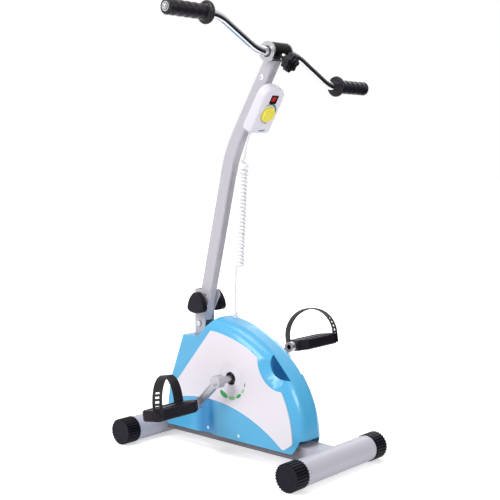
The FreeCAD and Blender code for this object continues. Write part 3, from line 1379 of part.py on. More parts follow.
def make_arm(side, sign):
    """A crank arm about the axle: a long boss, a flat tapered arm and an eye for the spindle."""
    x0, x1 = S.boss_outer - S.arm_thickness, S.boss_outer
    outer, inner = (x0, x1) if sign > 0 else (-x1, -x0)
    low, high = (S.boss_inner, x1) if sign > 0 else (-x1, -S.boss_inner)
    throw = S.crank_throw
    blade = prism(f"arm_{side}_blade", YZ_PLANE, outer, inner,
                  ((0, -S.arm_root), (throw, -S.arm_tip), (throw, S.arm_tip), (0, S.arm_root)))
    pieces = [
        rod(f"arm_{side}_boss", S.boss_radius, low, high),
        blade,
        rod(f"arm_{side}_eye", S.eye_radius, outer, inner, throw),
    ]
    bore_low, bore_high = (S.boss_inner, x1 - S.axle_bolt_height) if sign > 0 else (S.axle_bolt_height - x1, -S.boss_inner)
    return cut(f"arm_{side}", fuse(f"arm_{side}", *pieces),
               rod(f"arm_{side}_bore", S.axle_radius, bore_low, bore_high),
               rod(f"arm_{side}_thread", S.spindle_radius, outer, inner, throw))


def pedal_axis(sign):
    """Place of a pedal's spindle in the side view."""
    reach = -sign * S.crank_throw
    return S.crank_y + reach * cos_of(S.crank_turn), S.crank_z - reach * sin_of(S.crank_turn)


def make_drive():
    """Stand, bearings, motor, belt and control board inside the housing."""
    half, foot = S.stand_half, S.beam_top
    tube_outer = S.crank_bearing_radius + S.crank_tube_wall
    plates = []
    for x0 in (-half, half - S.crank_tube_right / 2 - S.stand_plate):
        plates.append(prism("stand_plate", YZ_PLANE, x0, x0 + S.stand_plate, (
            (S.crank_y - S.stand_foot, foot), (S.crank_y + S.stand_foot, foot),
            (S.crank_y + S.stand_neck, S.crank_z), (S.crank_y - S.stand_neck, S.crank_z),
        )))
    tube = rod("stand_tube", tube_outer, -S.crank_tube_left, S.crank_tube_right, S.crank_y, S.crank_z)
    bore = rod("stand_bore", S.crank_bearing_radius, -S.crank_tube_left, S.crank_tube_right, S.crank_y, S.crank_z)
    keep(cut("stand", fuse("stand", tube, *plates), bore), "axle_stand")
    for name, x0 in (("crank_bearing_left", -S.crank_tube_left),
                     ("crank_bearing_right", S.crank_tube_right - S.crank_bearing_width)):
        x1 = x0 + S.crank_bearing_width
        ring = cut(name, rod(f"{name}_ring", S.crank_bearing_radius, x0, x1, S.crank_y, S.crank_z),
                   rod(f"{name}_bore", S.axle_radius + S.fit, x0, x1, S.crank_y, S.crank_z))
        keep(ring, name)
    front = S.motor_front
    can = rod("motor_can", S.motor_radius, front - S.gearbox_length - S.motor_length, front - S.gearbox_length,
              S.motor_y, S.motor_z)
    gearbox = rod("motor_gearbox", S.gearbox_radius, front - S.gearbox_length, front, S.motor_y, S.motor_z)
    hole = rod("motor_bore", S.motor_shaft_radius + S.fit, front - S.gearbox_length, front, S.motor_y, S.motor_z)
    keep(cut("motor", fuse("motor", can, gearbox), hole), "gear_motor")
    make_motor_mount(front)
    make_belt_drive(front)
    make_board()


def make_motor_mount(front):
    """The folded plate that carries the motor by its gearbox."""
    x1, x0 = front, front - S.mount_plate
    half = S.mount_half
    plate = block("mount_plate", x0, x1, S.motor_y - half, S.motor_y + half, S.beam_top, S.motor_z + S.mount_half)
    foot = block("mount_foot", -S.beam_width / 2, x1, S.motor_y - half, S.motor_y + half, S.beam_top,
                 S.beam_top + S.mount_plate)
    hole = rod("mount_hole", S.gearbox_radius, x0, x1, S.motor_y, S.motor_z)
    keep(cut("motor_mount", fuse("motor_mount", plate, foot), hole), "motor_mount")


def make_belt_drive(front):
    """The small pulley on the motor's shaft, and the belt round both pulleys."""
    x0, x1 = S.pulley_x, S.pulley_x + S.pulley_width
    shaft = turned("motor_pulley", (
        (front - S.gearbox_length + S.gap, as_size(0)), (front - S.gearbox_length + S.gap, S.motor_shaft_radius),
        (x0, S.motor_shaft_radius), (x0, S.motor_pulley_radius), (x1, S.motor_pulley_radius), (x1, as_size(0)),
    ))
    keep(place(shaft, 0, S.motor_y, S.motor_z), "motor_pulley")
    dy, dz = S.motor_y - S.crank_y, S.motor_z - S.crank_z
    apart = root_of(dy * dy + dz * dz)
    lean = (S.pulley_radius - S.motor_pulley_radius) / apart
    rise = root_of(1 - lean * lean)
    belt_x = S.pulley_x + (S.pulley_width - S.belt_width) / 2
    hoops = []
    for number, grow in enumerate((S.gap + S.belt_thickness, S.gap)):
        big, small = S.pulley_radius + grow, S.motor_pulley_radius + grow
        loop = (
            (big * lean, -big * rise, big, 1), (apart + small * lean, -small * rise),
            (apart + small, 0, small, 1), (apart + small * lean, small * rise, small, 1),
            (big * lean, big * rise), (-big, 0, big, 1),
        )
        hoops.append(prism(f"belt_{number}", YZ_PLANE, belt_x, belt_x + S.belt_width, loop))
    belt = cut("belt", *hoops)
    angle = Size(math.degrees(math.atan2(dz.number, dy.number)), f"atan2({dz.text}; {dy.text})")
    keep(tilted(belt, angle, 0, S.crank_y, S.crank_z), "drive_belt")


def make_board():
    """The control board on its posts over the beam."""
    y0, y1 = S.board_y, S.board_y + S.board_length
    half = S.board_width / 2
    low = S.beam_top + S.board_rise
    high = low + S.board_thickness
    inset = S.board_post * 2
    pieces = [block("board", -half, half, y0, y1, low, high)]
    for x in (inset - half, half - inset):
        for y in (y0 + inset, y1 - inset):
            pieces.append(cylinder("board_post", S.board_post, S.board_rise, x, y, S.beam_top))
    pieces.append(block("board_relay", inset, half - inset, y0 + inset * 2, y0 + inset * 4, high, high + S.board_rise * 2))
    pieces.append(block("board_sink", inset - half, 0, y0 + inset * 3, y1 - inset * 2, high, high + S.board_rise * 3))
    keep(fuse("board", *pieces), "control_board")


def make_pedals():
    """The two pedals with their straps."""
    for side, sign in (("left", -1), ("right", 1)):
        y, z = pedal_axis(sign)
        tilted(keep(make_pedal(side, sign), f"pedal_{side}"), -S.pedal_tilt, 0, y, z)
        keep(make_strap(side, sign, y, z), f"strap_{side}")


def askew(obj, sign):
    """Turn an object drawn along X to the strap's line over the pedal."""
    turn = -sign * S.strap_turn
    return place(obj, sign * S.strap_x, S.strap_y, 0, FreeCAD.Rotation(Z_AXIS, turn.number), turn)


def make_pedal(side, sign):
    """A pedal about its spindle: a platform with two windows, cut askew where the strap's legs lie."""
    name = f"pedal_{side}_platform"
    half, nose = S.pedal_half_depth, S.pedal_nose
    inner, outer = S.pedal_inner, S.pedal_outer
    corner = S.pedal_corner
    points = (
        (S.pedal_nose_end, -nose), (inner, -nose), (inner + corner, -half), (outer - corner, -half),
        (outer, corner - half, corner, 1), (outer, half - corner), (outer - corner, half, corner, 1),
        (inner + corner, half), (inner, nose), (S.pedal_nose_end, nose),
    )
    loop = points if sign > 0 else tuple(mirrored_corner(points, i) for i in range(len(points)))
    body = new_body(name)
    pad(body, body_sketch(body, f"{name}_plan", "XY_Plane", loop), S.pedal_half_height * 2, midplane=True)
    top = S.pedal_half_height.number
    soften(body, S.pedal_edge, lambda e: all(abs(abs(v.Z) - top) < 0.01 for v in e.Vertexes))
    barrel, rail = S.pedal_barrel, S.pedal_rail
    for number, (y0, y1) in enumerate(((barrel, half - rail), (rail - half, -barrel))):
        x0, x1 = inner + corner + rail, outer - corner
        if sign < 0:
            x0, x1 = -x1, -x0
        window = body_sketch(body, f"{name}_window{number}", "XY_Plane", rectangle(x0, x1, y0, y1))
        pocket(body, window, S.pedal_half_height * 2, midplane=True)
    x0, x1 = (S.pedal_nose_end, S.spindle_end + S.gap) if sign > 0 else (-S.spindle_end - S.gap, -S.pedal_nose_end)
    bore = rod(f"{name}_bore", S.spindle_radius + S.fit, x0, x1)
    size = S.pedal_outer
    face = S.strap_half_span
    trims = []
    lugs = []
    for way in (-1, 1):
        low, high = (face, face + size) if way > 0 else (-face - size, -face)
        trims.append(block(f"{name}_trim", low, high, -size, size, -size, size))
        lug_end = face + S.lug_height
        a, b = (face - S.lug_height, lug_end) if way > 0 else (-lug_end, S.lug_height - face)
        shank = rod(f"{name}_lug", S.lug_radius, a, b)
        c, d = (lug_end - S.lug_head_height, lug_end) if way > 0 else (-lug_end, S.lug_head_height - lug_end)
        head = rod(f"{name}_lug_head", S.lug_head, c, d)
        lugs += [shank, head]
    outside = askew(group(f"{name}_trims", trims), sign)
    lug_pair = askew(group(f"{name}_lugs", [fuse(f"{name}_lug_pair", *lugs)]), sign)
    return cut(f"pedal_{side}", fuse(f"pedal_{side}", cut(f"{name}_trimmed", body, outside), lug_pair), bore)


def mirrored_corner(points, i):
    """The loop mirrored in X and walked the other way, so that it still runs counter-clockwise."""
    count = len(points)
    here = points[(count - i) % count]
    after = points[(count - i + 1) % count]
    corner = (-here[0], here[1])
    return corner + tuple(after[2:]) if len(after) == 4 else corner


def make_strap(side, sign, y, z):
    """An arched strap with slots in its outer leg, drawn along X and turned askew."""
    inner = S.strap_half_span
    outer = inner + S.strap_thickness
    foot, leg = -S.strap_foot, S.strap_leg
    loop = (
        (outer, foot), (outer, leg), (0, leg + outer, outer, 1), (-outer, leg, outer, 1), (-outer, foot),
        (-inner, foot), (-inner, leg), (0, leg + inner, inner, -1), (inner, leg, inner, -1), (inner, foot),
    )
    band = prism(f"strap_{side}", XZ_PLANE, -S.strap_width / 2, S.strap_width / 2, loop)
    holes = []
    middle = inner + S.strap_thickness / 2
    slot_x, slot_y, slot_z = S.strap_thickness * 3, S.strap_slot_width / 2, S.strap_slot_height / 2
    outward = 1 if sign > 0 else -1
    for number in range(1, int(S.strap_slots.number) + 1):
        rise = S.strap_slot_pitch * number
        over = rise - leg
        angle = over / middle * (180 / math.pi) if over.number > 0 else as_size(0)
        height = leg + middle * sin_of(angle) if over.number > 0 else rise
        slot = block(f"strap_{side}_slot", -slot_x, slot_x, -slot_y, slot_y, -slot_z, slot_z)
        turn = -outward * angle
        slot = place(group(f"strap_{side}_hole", [slot]), outward * middle * cos_of(angle), 0, height,
                     FreeCAD.Rotation(Y_AXIS, turn.number), turn)
        holes.append(slot)
    eye = rod(f"strap_{side}_eye", S.lug_radius + S.gap, -outer, outer)
    strap = askew(cut(f"strap_{side}", band, *holes, eye), sign)
    return tilted(group(f"strap_{side}", [strap]), -S.pedal_tilt, 0, y, z)


def biarc(points, tangents):
    """Arcs through points with given unit tangents, two to a step."""
    edges = []
    for (a, ta), (b, tb) in zip(zip(points, tangents), zip(points[1:], tangents[1:])):
        chord = b - a
        total = ta + tb
        dot = ta.dot(tb)
        side = chord.dot(total)
        square = chord.dot(chord)
        if abs(1 - dot) < 1e-9:
            reach = square / (2 * side)
        else:
            reach = (-side + math.sqrt(side * side + 2 * (1 - dot) * square)) / (2 * (1 - dot))
        joint = (a + ta * reach + b - tb * reach) / 2
        edges.append(corner_arc(a, a + ta * reach, joint))
        edges.append(corner_arc(joint, b - tb * reach, b))
    return edges


def corner_arc(start, corner, end):
    """The arc that leaves start and reaches end with both tangents meeting at a corner."""
    chord_middle = (start + end) / 2
    inward = chord_middle - corner
    if inward.Length < 1e-6:
        return Part.LineSegment(start, end).toShape()
    half = (end - start).Length / 2
    run = (start - corner).Length
    radius = run * half / inward.Length
    bow = math.sqrt(radius * radius + run * run) - radius
    return Part.Arc(start, corner + inward.normalize() * bow, end).toShape()


def tube_along(name, edges, radius, start, direction):
    """A round cord along edges that follow one another smoothly."""
    wire = Part.Wire(edges)
    ring = Part.Wire([Part.makeCircle(radius, start, direction)])
    solid = wire.makePipeShell([ring], True, False)
    piece = doc.addObject("Part::Feature", name)
    piece.Shape = solid
    expected = math.pi * radius * radius * wire.Length
    print(f"{name}: length {wire.Length:.1f} mm, volume over section times length {solid.Volume / expected:.4f}")
    return keep(piece, name)


def rounded_route(name, points):
    """Straight runs through points, joined by tangent arcs as large as the runs allow."""
    edges = []
    here = points[0]
    radii = []
    for before, corner, after in zip(points, points[1:], points[2:]):
        back, ahead = before - corner, after - corner
        short = min(back.Length, ahead.Length)
        turn = math.pi - back.getAngle(ahead)
        run = 0.45 * short
        radii.append(run / math.tan(turn / 2))
        a = corner + back.normalize() * run
        b = corner + ahead.normalize() * run
        edges.append(Part.LineSegment(here, a).toShape())
        edges.append(corner_arc(a, corner, b))
        here = b
    edges.append(Part.LineSegment(here, points[-1]).toShape())
    print(f"{name}: bend radii", " ".join(f"{r:.0f}" for r in radii), "mm")
    return edges


def coil_frame():
    """The coil's axis from its top to its foot, with two directions across it."""
    top = V(S.coil_top_x.number, S.coil_top_y.number, S.coil_top_z.number)
    foot = V(S.coil_foot_x.number, S.coil_foot_y.number, S.coil_foot_z.number)
    along = (foot - top).normalize()
    across = X_AXIS.cross(along).normalize()
    return top, foot, along, across.cross(along).normalize(), across


def coil_points():
    """Points and tangents down the coil. The first curl is pulled open, the others lie at one pitch."""
    top, foot, along, first, second = coil_frame()
    length = (foot - top).Length
    turns = S.coil_turns.number
    opening = S.coil_opening.number
    pitch = (length - opening) / turns
    radius = S.coil_radius.number
    easing = 1.5
    steps = int(turns * 4)
    points, tangents = [], []
    for step in range(steps + 1):
        t = step / 4
        angle = 2 * math.pi * t
        ease = min(t / easing, 1.0)
        down = pitch * t + opening * (1 - (1 - ease) ** 2)
        speed = pitch + opening * 2 * (1 - ease) / easing
        round_x, round_y = math.cos(angle), math.sin(angle)
        points.append(top + along * down + first * (radius * round_x) + second * (radius * round_y))
        sweep = 2 * math.pi * radius
        tangents.append((along * speed + second * (sweep * round_x) - first * (sweep * round_y)).normalize())
    return points, tangents


def make_cord():
    """The handset's cord: a short lead, a coil of curls and a straight lead down to the housing."""
    radius = S.cord_radius.number
    points, tangents = coil_points()
    top, foot, along, first, second = coil_frame()
    bend = S.coil_radius.number
    stub = 2 * radius
    top_corner = points[0] - tangents[0] * bend
    top_turn = top_corner - along * bend
    top_end = top_turn - along * stub
    foot_corner = points[-1] + tangents[-1] * bend
    foot_turn = foot_corner + along * bend
    foot_end = foot_turn + along * stub
    edges = [Part.LineSegment(top_end, top_turn).toShape(), corner_arc(top_turn, top_corner, points[0])]
    edges += biarc(points, tangents)
    edges += [corner_arc(points[-1], foot_corner, foot_turn), Part.LineSegment(foot_turn, foot_end).toShape()]
    tube_along("cord_coil", edges, radius, top_end, along)
    steps = [e.discretize(7) for e in edges]
    path = [p for step in steps for p in step[:-1]]
    near = curl_gap(path) - 2 * radius
    print(f"cord_coil: least gap to itself {near:.2f} mm")
    upper = upper_route(top_end, along)
    tube_along("cord_upper_lead", rounded_route("cord_upper_lead", upper), radius, upper[0], upper[1] - upper[0])
    lower = lower_route(foot_end, along)
    tube_along("cord_lower_lead", rounded_route("cord_lower_lead", lower), radius, lower[0], lower[1] - lower[0])


def curl_gap(path):
    """Least distance between places of a path that are more than half a curl apart."""
    half_curl = math.pi * S.coil_radius.number
    lengths = [0.0]
    for a, b in zip(path, path[1:]):
        lengths.append(lengths[-1] + (b - a).Length)
    least = 1e9
    for i, p in enumerate(path):
        for j in range(i + 1, len(path)):
            run = lengths[j] - lengths[i]
            if run > 4 * half_curl:
                break
            if run > half_curl:
                least = min(least, (p - path[j]).Length)
    return least


def upper_route(end, along):
    """From the handset's gland to the top of the coil."""
    lean = math.radians(S.lean_upper.number)
    down = V(0, math.sin(lean), -math.cos(lean))
    out = V(0, -math.cos(lean), -math.sin(lean))
    bend = V(0, BEND_Y.number, BEND_Z.number)
    rise = S.handset_rise.number - S.handset_height.number / 2 - S.handset_gland_length.number * 3 / 4
    depth = S.handset_back.number + S.handset_gland_depth.number
    start = bend - down * rise + out * depth + V(S.handset_gland_x.number, 0, 0)
    run = (end - start).Length / 3
    return [start, start + down * run * 0.9, end - along * run * 0.9, end]


def lower_route(start, along):
    """From the foot of the coil to the strain relief on the housing."""
    end = V(S.relief_x.number, S.relief_y.number,
            S.relief_base.number + S.relief_collar.number + S.relief_taper.number)
    run = (end - start).Length / 3
    return [start, start + along * run, end + Z_AXIS * run, end]


make_stabilisers()
make_beam()
make_bracket()
make_clamp_knobs()
make_mast()
make_bearing()
make_hand_crank()
make_friction_knob()
make_handset()
make_housing()
make_housing_fittings()
make_crank()
make_drive()
make_pedals()
doc.recompute()
make_cord()
doc.recompute()

faults = [f"{o.Name}: {o.State}" for o in doc.Objects if {"Invalid", "Error"} & set(o.State)]
for name, piece in nodes.items():
    if piece.Shape.isNull() or not piece.Shape.isValid():
        faults.append(f"{name}: shape is null or not valid")
if faults:
    raise RuntimeError("; ".join(faults))

os.makedirs("parts", exist_ok=True)
for name, piece in nodes.items():
    piece.Shape.exportStep(f"parts/{name}.step")
print(len(nodes), "pieces")
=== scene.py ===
import bpy
import math
from mathutils import Matrix, Vector


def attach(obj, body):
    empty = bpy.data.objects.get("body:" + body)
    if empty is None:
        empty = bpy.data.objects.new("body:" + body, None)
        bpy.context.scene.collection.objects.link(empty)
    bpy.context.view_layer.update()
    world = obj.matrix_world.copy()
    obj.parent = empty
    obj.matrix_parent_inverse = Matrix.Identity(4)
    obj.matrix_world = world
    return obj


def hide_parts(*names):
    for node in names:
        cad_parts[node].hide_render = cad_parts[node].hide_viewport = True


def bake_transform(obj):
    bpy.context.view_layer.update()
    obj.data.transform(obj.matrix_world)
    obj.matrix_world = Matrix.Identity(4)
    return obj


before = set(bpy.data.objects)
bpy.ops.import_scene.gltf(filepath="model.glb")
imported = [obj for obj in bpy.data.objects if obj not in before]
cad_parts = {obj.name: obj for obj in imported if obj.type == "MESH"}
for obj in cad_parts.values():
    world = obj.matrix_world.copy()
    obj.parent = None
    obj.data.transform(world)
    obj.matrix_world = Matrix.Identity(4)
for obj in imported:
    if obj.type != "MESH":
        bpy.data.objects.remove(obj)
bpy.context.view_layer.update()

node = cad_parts

# Camera. The trainer was photographed from the user's left and from a little above the pedals, with a long lens,
# so the upright pieces stay upright and the near stabiliser is hardly larger than the far one.
eye = Vector((-1.646, -1.4755, 0.678))
looking_down = math.radians(5.6)
gaze = Vector((0.748 * math.cos(looking_down), 0.664 * math.cos(looking_down), -math.sin(looking_down)))
bpy.ops.object.camera_add(location=eye, rotation=gaze.to_track_quat("-Z", "Y").to_euler())
camera = bpy.context.object
camera.name = "camera"
camera.data.sensor_width = 36
camera.data.lens = 71.35
bpy.context.scene.camera = camera

# The handset's curly cord, a white PVC lead of 4.6 mm wound hot on a rod so that it springs back. It leaves the
# strain relief on the housing, hangs in 27 curls below the handset and runs up into the handset's gland.
CORD_THICK = 0.0046
CURLS = 27
CURL_RADIUS = 0.0066
CURL_OPENING = 0.013
coil_top = Vector((-0.006, -0.005, 0.664))
coil_foot = Vector((0.008, 0.022, 0.424))
down_coil = (coil_foot - coil_top).normalized()
curl_side = Vector((1, 0, 0)).cross(down_coil).normalized()
curl_front = curl_side.cross(down_coil).normalized()


def curl_points(per_curl):
    """Points down the coil: even curls, but for the first one and a half, which the handset's weight pulls open."""
    pitch = ((coil_foot - coil_top).length - CURL_OPENING) / CURLS
    found = []
    for step in range(CURLS * per_curl + 1):
        turn = step / per_curl
        slack = 1 - min(turn / 1.5, 1)
        down = pitch * turn + CURL_OPENING * (1 - slack * slack)
        angle = 2 * math.pi * turn
        found.append(
            coil_top
            + down_coil * down
            + curl_front * (CURL_RADIUS * math.cos(angle))
            + curl_side * (CURL_RADIUS * math.sin(angle))
        )
    return found


def cord_spline(name, points):
    """An open cord line with the given points as its control points."""
    line = bpy.data.curves.new(name, "CURVE")
    line.dimensions = "3D"
    line.resolution_u = 4
    spline = line.splines.new("NURBS")
    spline.points.add(len(points) - 1)
    for point, place in zip(spline.points, points):
        point.co = (*place, 1)
    spline.order_u = 3
    spline.use_endpoint_u = True
    piece = bpy.data.objects.new(name, line)
    bpy.context.scene.collection.objects.link(piece)
    return piece


def cord_tube(piece, radius):
    """Gives the line its thickness and makes it a mesh. Returns the points that its middle runs through."""
    bare = bpy.data.meshes.new_from_object(piece)
    path = [tuple(v.co) for v in bare.vertices]
    bpy.data.meshes.remove(bare)
    piece.data.bevel_depth = radius
    piece.data.bevel_resolution = 4
    piece.data.use_fill_caps = True
    bpy.ops.object.select_all(action="DESELECT")
    piece.select_set(True)
    bpy.context.view_layer.objects.active = piece
    bpy.ops.object.convert(target="MESH")
    bpy.ops.object.shade_smooth()
    return path


lower_lead = [(0.0120, 0.0400, 0.3150), (0.0120, 0.0400, 0.3476), (0.0040, 0.0335, 0.3795)]
coil_tail = [(0.0021, 0.0299, 0.4119), (0.0015, 0.0286, 0.4230)]
coil_head = [(-0.0128, -0.0109, 0.6665), (-0.0134, -0.0122, 0.6776)]
upper_lead = [(-0.0134, -0.0122, 0.6776), (-0.0142, -0.0137, 0.6909), (-0.0080, -0.0148, 0.7095),
              (-0.0080, -0.0217, 0.7210)]
curly_cord = cord_spline("curly_cord", lower_lead + coil_tail + curl_points(12)[::-1] + coil_head)
handset_lead = cord_spline("handset_lead", upper_lead)
curly_path = cord_tube(curly_cord, CORD_THICK / 2)
lead_path = cord_tube(handset_lead, CORD_THICK / 2)


def tone(red, green, blue):
    """A colour written as it looks, 0 to 255, as the shader takes it."""
    shares = [part / 255 for part in (red, green, blue)]
    return tuple(share / 12.92 if share < 0.0404 else ((share + 0.055) / 1.055) ** 2.4 for share in shares) + (1,)


def skin_group():
    """Surface of a moulded, sprayed or rolled piece: fine grain, and slow drifts of shade and of gloss."""
    group = bpy.data.node_groups.new("surface_skin", "ShaderNodeTree")
    sockets = group.interface
    for name, kind, value in (("Color", "NodeSocketColor", (0.8, 0.8, 0.8, 1)), ("Drift", "NodeSocketFloat", 0.05),
                              ("Roughness", "NodeSocketFloat", 0.4), ("Gloss Drift", "NodeSocketFloat", 0.08),
                              ("Grain", "NodeSocketFloat", 1200), ("Depth", "NodeSocketFloat", 0.00003),
                              ("Patch", "NodeSocketFloat", 14)):
        socket = sockets.new_socket(name, in_out="INPUT", socket_type=kind)
        socket.default_value = value
    for name, kind in (("Color", "NodeSocketColor"), ("Roughness", "NodeSocketFloat"),
                       ("Normal", "NodeSocketVector")):
        sockets.new_socket(name, in_out="OUTPUT", socket_type=kind)
    add, join = group.nodes.new, group.links.new
    into, out = add("NodeGroupInput"), add("NodeGroupOutput")
    place = add("ShaderNodeTexCoord")
    grain, patch = add("ShaderNodeTexNoise"), add("ShaderNodeTexNoise")
    grain.inputs["Detail"].default_value = 3
    patch.inputs["Detail"].default_value = 4
    for texture, scale in ((grain, "Grain"), (patch, "Patch")):
        join(place.outputs["Object"], texture.inputs["Vector"])
        join(into.outputs[scale], texture.inputs["Scale"])
    bump = add("ShaderNodeBump")
    join(grain.outputs["Fac"], bump.inputs["Height"])
    join(into.outputs["Depth"], bump.inputs["Distance"])
    join(bump.outputs["Normal"], out.inputs["Normal"])
    lean = add("ShaderNodeMath")
    lean.operation = "SUBTRACT"
    join(patch.outputs["Fac"], lean.inputs[0])
    lean.inputs[1].default_value = 0.5
    gloss = add("ShaderNodeMath")
    gloss.operation = "MULTIPLY_ADD"
    join(lean.outputs[0], gloss.inputs[0])
    join(into.outputs["Gloss Drift"], gloss.inputs[1])
    join(into.outputs["Roughness"], gloss.inputs[2])
    join(gloss.outputs[0], out.inputs["Roughness"])
    shade = add("ShaderNodeMath")
    shade.operation = "MULTIPLY_ADD"
    join(lean.outputs[0], shade.inputs[0])
    join(into.outputs["Drift"], shade.inputs[1])
    shade.inputs[2].default_value = 1
    tint = add("ShaderNodeVectorMath")
    tint.operation = "SCALE"
    join(into.outputs["Color"], tint.inputs[0])
    join(shade.outputs[0], tint.inputs["Scale"])
    join(tint.outputs["Vector"], out.inputs["Color"])
    return group


surface_skin = skin_group()


def finish(name, colour, roughness, **other):
    """A finish with the surface skin in it. Metallic, coat and the like go straight onto the shader."""
    made = bpy.data.materials.new(name)
    made.use_nodes = True
    shader = made.node_tree.nodes["Principled BSDF"]
    skin = made.node_tree.nodes.new("ShaderNodeGroup")
    skin.node_tree = surface_skin
    skin.name = "skin"
    skin.inputs["Color"].default_value = colour
    skin.inputs["Roughness"].default_value = roughness
    for socket, value in other.items():
        label = socket.replace("_", " ").title().replace("Ior", "IOR")
        (skin if label in skin.inputs else shader).inputs[label].default_value = value
    for socket, target in (("Color", "Base Color"), ("Roughness", "Roughness"), ("Normal", "Normal")):
        made.node_tree.links.new(skin.outputs[socket], shader.inputs[target])
    made.diffuse_color = colour
    return made


def wear(material, *pieces):
    """Puts one finish on pieces, which are objects or the names of CAD nodes."""
    for piece in pieces:
        mesh = (node[piece] if isinstance(piece, str) else piece).data
        mesh.materials.clear()
        mesh.materials.append(material)


cord_white = finish("cord_white", tone(232, 230, 234), 0.42, drift=0.04, grain=900, depth=0.00002)
wear(cord_white, curly_cord, handset_lead)
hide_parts("cord_coil", "cord_lower_lead")
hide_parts("cord_upper_lead")
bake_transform(curly_cord)
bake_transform(handset_lead)

# The studio: a white floor that keeps the trainer's shadow, a white surround and four soft lamps. The lamp on the
# user's left is the strongest, because the faces turned that way are the light ones in the photograph. A dark wall
# and a dark mat in front, which only reflections see, give the chrome its dark streaks.
bpy.ops.mesh.primitive_plane_add(size=40, location=(0, 0, -0.0004))
floor = bpy.context.object
floor.name = "studio_floor"


def seen_ray(tree):
    """1 for what the camera, a mirror or glass sees, 0 for the light that falls on the trainer."""
    path = tree.nodes.new("ShaderNodeLightPath")
    first, second = (tree.nodes.new("ShaderNodeMath") for _ in range(2))
    first.operation = second.operation = "MAXIMUM"
    tree.links.new(path.outputs["Is Camera Ray"], first.inputs[0])
    tree.links.new(path.outputs["Is Glossy Ray"], first.inputs[1])
    tree.links.new(first.outputs[0], second.inputs[0])
    tree.links.new(path.outputs["Is Transmission Ray"], second.inputs[1])
    return second.outputs[0]


def ramp(tree, start, end, before, after):
    """A smooth change from one value before the start to another after the end."""
    made = tree.nodes.new("ShaderNodeMapRange")
    made.interpolation_type = "SMOOTHSTEP"
    for socket, value in (("From Min", start), ("From Max", end), ("To Min", before), ("To Max", after)):
        made.inputs[socket].default_value = value
    return made


floor_white = bpy.data.materials.new("floor_white")
floor_white.use_nodes = True
shader = floor_white.node_tree.nodes["Principled BSDF"]
shader.inputs["Base Color"].default_value = (0.86, 0.86, 0.87, 1)
shader.inputs["Roughness"].default_value = 0.9
shader.inputs["Specular IOR Level"].default_value = 0.0
shader.inputs["Emission Color"].default_value = (1, 1, 1, 1)
tree = floor_white.node_tree
spot, away, lift = (tree.nodes.new(kind) for kind in (
    "ShaderNodeTexCoord", "ShaderNodeVectorMath", "ShaderNodeMath"))
away.operation, lift.operation = "LENGTH", "MULTIPLY"
fade = ramp(tree, 0.45, 2.6, 0.50, 1.0)
tree.links.new(spot.outputs["Object"], away.inputs[0])
tree.links.new(away.outputs["Value"], fade.inputs["Value"])
tree.links.new(seen_ray(tree), lift.inputs[0])
tree.links.new(fade.outputs["Result"], lift.inputs[1])
tree.links.new(lift.outputs[0], shader.inputs["Emission Strength"])
floor.data.materials.append(floor_white)

dark_card = bpy.data.materials.new("dark_card")
dark_card.use_nodes = True
tree = dark_card.node_tree
shader = tree.nodes["Principled BSDF"]
shader.inputs["Base Color"].default_value = (0.01, 0.01, 0.012, 1)
shader.inputs["Specular IOR Level"].default_value = 0.0
shader.inputs["Emission Color"].default_value = (1, 1, 1, 1)
spot, apart = tree.nodes.new("ShaderNodeTexCoord"), tree.nodes.new("ShaderNodeSeparateXYZ")
rise = ramp(tree, 0.3, 3.4, 0.012, 0.95)
tree.links.new(spot.outputs["Object"], apart.inputs[0])
tree.links.new(apart.outputs["Z"], rise.inputs["Value"])
tree.links.new(rise.outputs["Result"], shader.inputs["Emission Strength"])
CARD_WIDTH = 7
for name, place, tilt, length in (("dark_wall", (2.3, -2.3, 1.9), math.pi / 2, 3.8),
                                  ("dark_mat", (1.6, -1.6, 0.0006), 0, 2.9)):
    bpy.ops.mesh.primitive_plane_add(size=1, location=place, rotation=(tilt, 0, math.pi / 4))
    card = bpy.context.object
    card.name = name
    bpy.ops.transform.resize(value=(CARD_WIDTH, length, 1), orient_type="LOCAL")
    bpy.ops.object.transform_apply(location=True, rotation=True, scale=True)
    card.data.materials.append(dark_card)
    for kind in ("camera", "diffuse", "transmission", "shadow", "volume_scatter"):
        setattr(card, f"visible_{kind}", False)

surround = bpy.data.worlds.new("surround")
surround.use_nodes = True
back = surround.node_tree.nodes["Background"]
back.inputs["Color"].default_value = (1, 1, 1, 1)
level = surround.node_tree.nodes.new("ShaderNodeMapRange")
level.inputs["To Min"].default_value = 0.40
level.inputs["To Max"].default_value = 1.0
surround.node_tree.links.new(seen_ray(surround.node_tree), level.inputs["Value"])
surround.node_tree.links.new(level.outputs["Result"], back.inputs["Strength"])
bpy.context.scene.world = surround
bpy.context.scene.view_settings.view_transform = "Standard"

MIDDLE_OF_TRAINER = Vector((0, 0, 0.45))
for name, place, width, power in (("lamp_left", (-2.4, 0.5, 1.9), 1.3, 42), ("lamp_front", (0.1, -2.9, 1.7), 0.9, 29),
                                  ("lamp_right", (2.7, 0.8, 1.5), 1.2, 17), ("lamp_top", (-0.3, 0.2, 3.2), 1.5, 33)):
    aim = MIDDLE_OF_TRAINER - Vector(place)
    bpy.ops.object.light_add(type="AREA", location=place, rotation=aim.to_track_quat("-Z", "Y").to_euler())
    lamp = bpy.context.object
    lamp.name = name
    lamp.data.size = width
    lamp.data.energy = power

